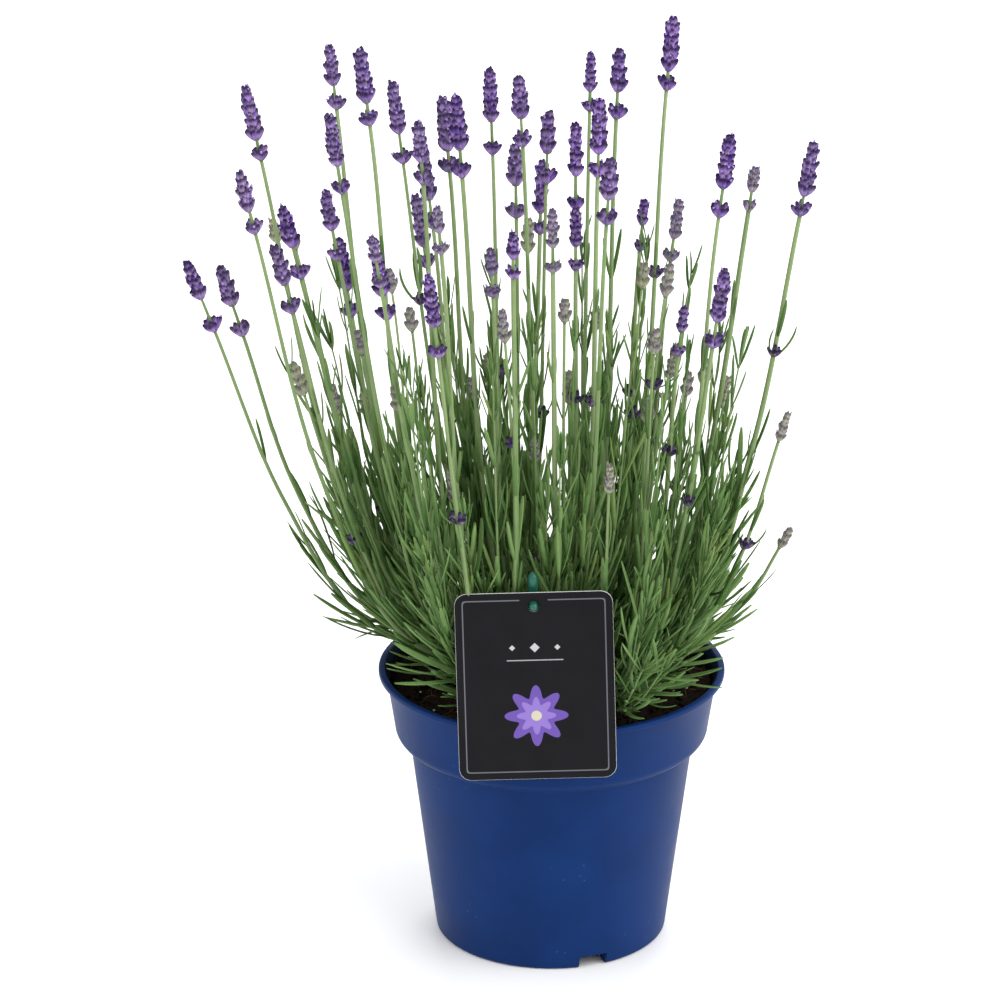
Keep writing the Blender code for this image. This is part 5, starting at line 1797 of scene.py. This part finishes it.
# Which stems carry leaves, the size of the leaves, between which shares of the stem's height, how many
# pairs, and the splay from the stem and the bend along the leaf.
LEAF_SETS = (
    ("low", 0.72, 0.10, 1.0, 6, (0.50, 1.30), (-0.95, 0.35)),
    ("middle", 1.0, 0.06, 0.45, 3, (0.45, 1.10), (-0.85, 0.30)),
    ("middle", 1.0, 0.40, 1.0, 5, (0.12, 0.60), (-0.60, 0.20)),
    ("middle", 0.45, 0.25, 1.0, 4, (0.15, 0.75), (-0.60, 0.20)),
    ("tall", 0.95, 0.12, 0.60, 4, (0.10, 0.50), (-0.45, 0.20)),
    ("tall", 0.80, 0.55, 1.0, 4, (0.08, 0.40), (-0.40, 0.15)),
    ("shoots", 0.70, 0.94, 1.0, 2, (0.10, 0.40), (-0.30, 0.25)),
    ("stalks", 1.0, 0.03, 0.20, 2, (0.30, 1.10), (-0.80, 0.30)),
    ("stalks", 0.95, 0.18, 0.45, 3, (0.08, 0.38), (-0.35, 0.15)),
    ("stalks", 0.72, 0.42, 0.80, 2, (0.12, 0.42), (-0.45, -0.05)),
)


class LAVENDER_OT_leaves(bpy.types.Operator):
    """Grows opposite pairs of narrow leaves on the shoots and low on the stalks"""

    bl_idname = "lavender.leaves"
    bl_label = "Leaves"

    def execute(self, context):
        settings = context.scene.lavender_leaf
        finish = leaf_finish(settings)
        stalks = with_ends(plan_stalks())
        for bunch in range(BUNCHES):
            rng = np.random.default_rng(SEEDS["leaves"] + bunch)
            shoots = [s for s in all_shoots() if s["bunch"] == bunch]
            own = [s for s in stalks if s["bunch"] == bunch]
            stems = {form: [s for s in shoots if s["form"] == form] for form in SHOOT_FORMS}
            stems.update(shoots=shoots, stalks=own)
            sets = [
                leaves_on(stems[kind], rng, size * settings.longest, *shape)
                for kind, size, *shape in LEAF_SETS
                if stems[kind]
            ]
            nodes = [node for node in map(stalk_node, own) if node]
            if nodes:
                sets.append(node_leaves(nodes, rng))
            leaves = {key: np.concatenate([s[key] for s in sets]) for key in sets[0]}
            name = f"bunch_{bunch + 1:02d}"
            points, faces, marks = leaves_part(leaves, settings.width, rng)
            dress(make_piece(name + "_leaves", points, faces, marks), finish, "stem_green")
        return {"FINISHED"}


NODE_CALYX = 0.90
NODE_TINT = 0.12
NODE_TONES = (-0.5, 0.4)


class LAVENDER_OT_spikes(bpy.types.Operator):
    """Grows the flower spikes and the green heads: whorls of calyces with buds and bracts"""

    bl_idname = "lavender.spikes"
    bl_label = "Spikes"

    def execute(self, context):
        settings = context.scene.lavender_flower
        stems = context.scene.lavender_stem
        finish = calyx_finish(settings)
        green = stem_finish(stems)
        number = 0
        for order, stalk in enumerate(with_ends(plan_stalks())):
            rng = np.random.default_rng(SEEDS["heads"] + order)
            kind, end, axis = stalk["kind"], stalk["points"][-1], stalk["axis"]
            stout, tints = rng.uniform(*STOUTNESS[kind]), TINTS[kind]
            if end[2] < LOW_HEAD:
                stout, tints = LOW_STOUT * stout, LOW_TINTS
            spike = dict(stalk, base=end + HEAD_SEATS[kind] * axis, stout=stout)
            tint = rng.uniform(*tints)
            parts = spike_parts(spike, rng, settings.calyx, settings.girth, tint)
            parts.append(bracts_part(spike, rng, tint))
            if kind == "bud":
                name, slot, nodes = f"head_{order + 1:02d}", "stem_green", ()
            else:
                number += 1
                name, slot, nodes = f"spike_{number:02d}_flowers", "spike_violet", (f"spike_{number:02d}",)
            points, faces, marks = join_parts(parts)
            dress(make_piece(name, points, faces, marks), finish, slot, *nodes)
            span = whorl_places(spike)[-1][0] + RACHIS_TOP
            rachis = with_ends([{"points": [spike["base"] + rise * axis for rise in (RACHIS_FOOT, span)]}])
            thickness = (stems.top, 0.6 * stems.top)
            points, faces, marks = stems_part(rachis, RACHIS_RINGS, STEM_SIDES, *thickness, rng)
            dress(make_piece(name + "_rachis", points, faces, marks), green, "stem_green")
        self.node_calyces(settings, finish)
        return {"FINISHED"}

    def node_calyces(self, settings, finish):
        """The few dark calyces between the curled leaves part way up a stalk."""
        rng = np.random.default_rng(SEEDS["nodes"])
        parts = []
        for stalk in with_ends(plan_stalks()):
            node = stalk_node(stalk)
            if node is None:
                continue
            place, way, _ = node
            root, ways, size = whorl_calyces(rng, place, way, [(0.0, 0.0)], NODE_TIERS, crowned=False)
            size = NODE_CALYX * size
            part = calyx_part(root, ways, size, rng, settings.calyx, settings.girth, NODE_TINT)
            part[2]["tone"] = NODE_TONES[0] + NODE_TONES[1] * part[2]["tone"]
            parts.append(part)
        points, faces, marks = join_parts(parts)
        dress(make_piece("stalk_whorls", points, faces, marks), finish, "spike_violet")


FLOOR_CORNERS = ((-8, -6, 0), (8, -6, 0), (8, 14, 0), (-8, 14, 0))
FLOOR_PALE = 0.97
VIEW_TARGET = (-0.0283, 0.0, 0.2515)
SENSOR_WIDTH = 36.0
# Lamps by place, width and share of the key light's power.
LAMPS = {
    "key": ((2.0, -1.3, 2.2), 3.0, 1.0),
    "fill": ((-2.3, -0.9, 1.5), 2.0, 0.20),
    "back": ((0.2, 1.9, 2.2), 1.6, 0.46),
}


class LAVENDER_OT_studio(bpy.types.Operator):
    """Sets a pale floor, soft lights and the camera"""

    bl_idname = "lavender.studio"
    bl_label = "Studio"

    def execute(self, context):
        settings = context.scene.lavender_studio
        scene = context.scene
        corners = np.array(FLOOR_CORNERS, float)
        floor = make_piece("floor", corners, [np.array([(0, 1, 2, 3)])], smooth=False)
        paper, _, shader = new_tree("floor_paper")
        shader.inputs["Base Color"].default_value = (FLOOR_PALE, FLOOR_PALE, FLOOR_PALE, 1.0)
        shader.inputs["Roughness"].default_value = 1.0
        shader.inputs["Specular IOR Level"].default_value = 0.0
        floor.data.materials.append(paper)
        target = np.array(VIEW_TARGET)
        level = settings.distance * math.cos(settings.elevation)
        place = target + np.array([0.0, -level, settings.distance * math.sin(settings.elevation)])
        camera = bpy.data.objects.new("camera", bpy.data.cameras.new("camera"))
        camera.data.lens = settings.lens
        camera.data.sensor_width = SENSOR_WIDTH
        camera.location = place
        camera.rotation_euler = (0.5 * math.pi - settings.elevation, 0.0, 0.0)
        scene.collection.objects.link(camera)
        scene.camera = camera
        for name, (spot, size, share) in LAMPS.items():
            self.area_light(scene, name, np.array(spot), target, size, share * settings.key)
        world = bpy.data.worlds.new("sky")
        world.use_nodes = True
        shade = world.node_tree.nodes["Background"]
        shade.inputs["Color"].default_value = (1.0, 1.0, 1.0, 1.0)
        shade.inputs["Strength"].default_value = settings.sky
        scene.world = world
        scene.view_settings.view_transform = "Standard"
        return {"FINISHED"}

    def area_light(self, scene, name, spot, target, size, power):
        """A square lamp that faces the plant."""
        lamp = bpy.data.lights.new(name, "AREA")
        lamp.size = size
        lamp.energy = power
        thing = bpy.data.objects.new(name, lamp)
        thing.location = spot
        thing.rotation_euler = Vector(target - spot).to_track_quat("-Z", "Y").to_euler()
        scene.collection.objects.link(thing)


OPERATORS = (
    LAVENDER_OT_pot,
    LAVENDER_OT_soil,
    LAVENDER_OT_label,
    LAVENDER_OT_stake,
    LAVENDER_OT_stems,
    LAVENDER_OT_leaves,
    LAVENDER_OT_spikes,
    LAVENDER_OT_studio,
)


class LAVENDER_PT_panel(bpy.types.Panel):
    """Lists the lavender's settings and steps"""

    bl_idname = "LAVENDER_PT_panel"
    bl_label = "Potted Lavender"
    bl_space_type = "VIEW_3D"
    bl_region_type = "UI"
    bl_category = "Lavender"

    def draw(self, context):
        for operator in OPERATORS:
            self.layout.operator(operator.bl_idname)
        for name, group in SETTINGS.items():
            box = self.layout.box()
            box.label(text=group.__name__.removesuffix("Settings"))
            for prop in group.__annotations__:
                box.prop(getattr(context.scene, name), prop)


def register():
    for name, group in SETTINGS.items():
        bpy.utils.register_class(group)
        setattr(bpy.types.Scene, name, PointerProperty(type=group))
    for made in (*OPERATORS, LAVENDER_PT_panel):
        bpy.utils.register_class(made)


def unregister():
    for made in (LAVENDER_PT_panel, *reversed(OPERATORS)):
        bpy.utils.unregister_class(made)
    for name, group in SETTINGS.items():
        delattr(bpy.types.Scene, name)
        bpy.utils.unregister_class(group)


def main():
    register()
    bpy.ops.lavender.pot()
    bpy.ops.lavender.soil()
    bpy.ops.lavender.label()
    bpy.ops.lavender.stake()
    bpy.ops.lavender.stems()
    bpy.ops.lavender.leaves()
    bpy.ops.lavender.spikes()
    bpy.ops.lavender.studio()


if __name__ == "__main__":
    main()
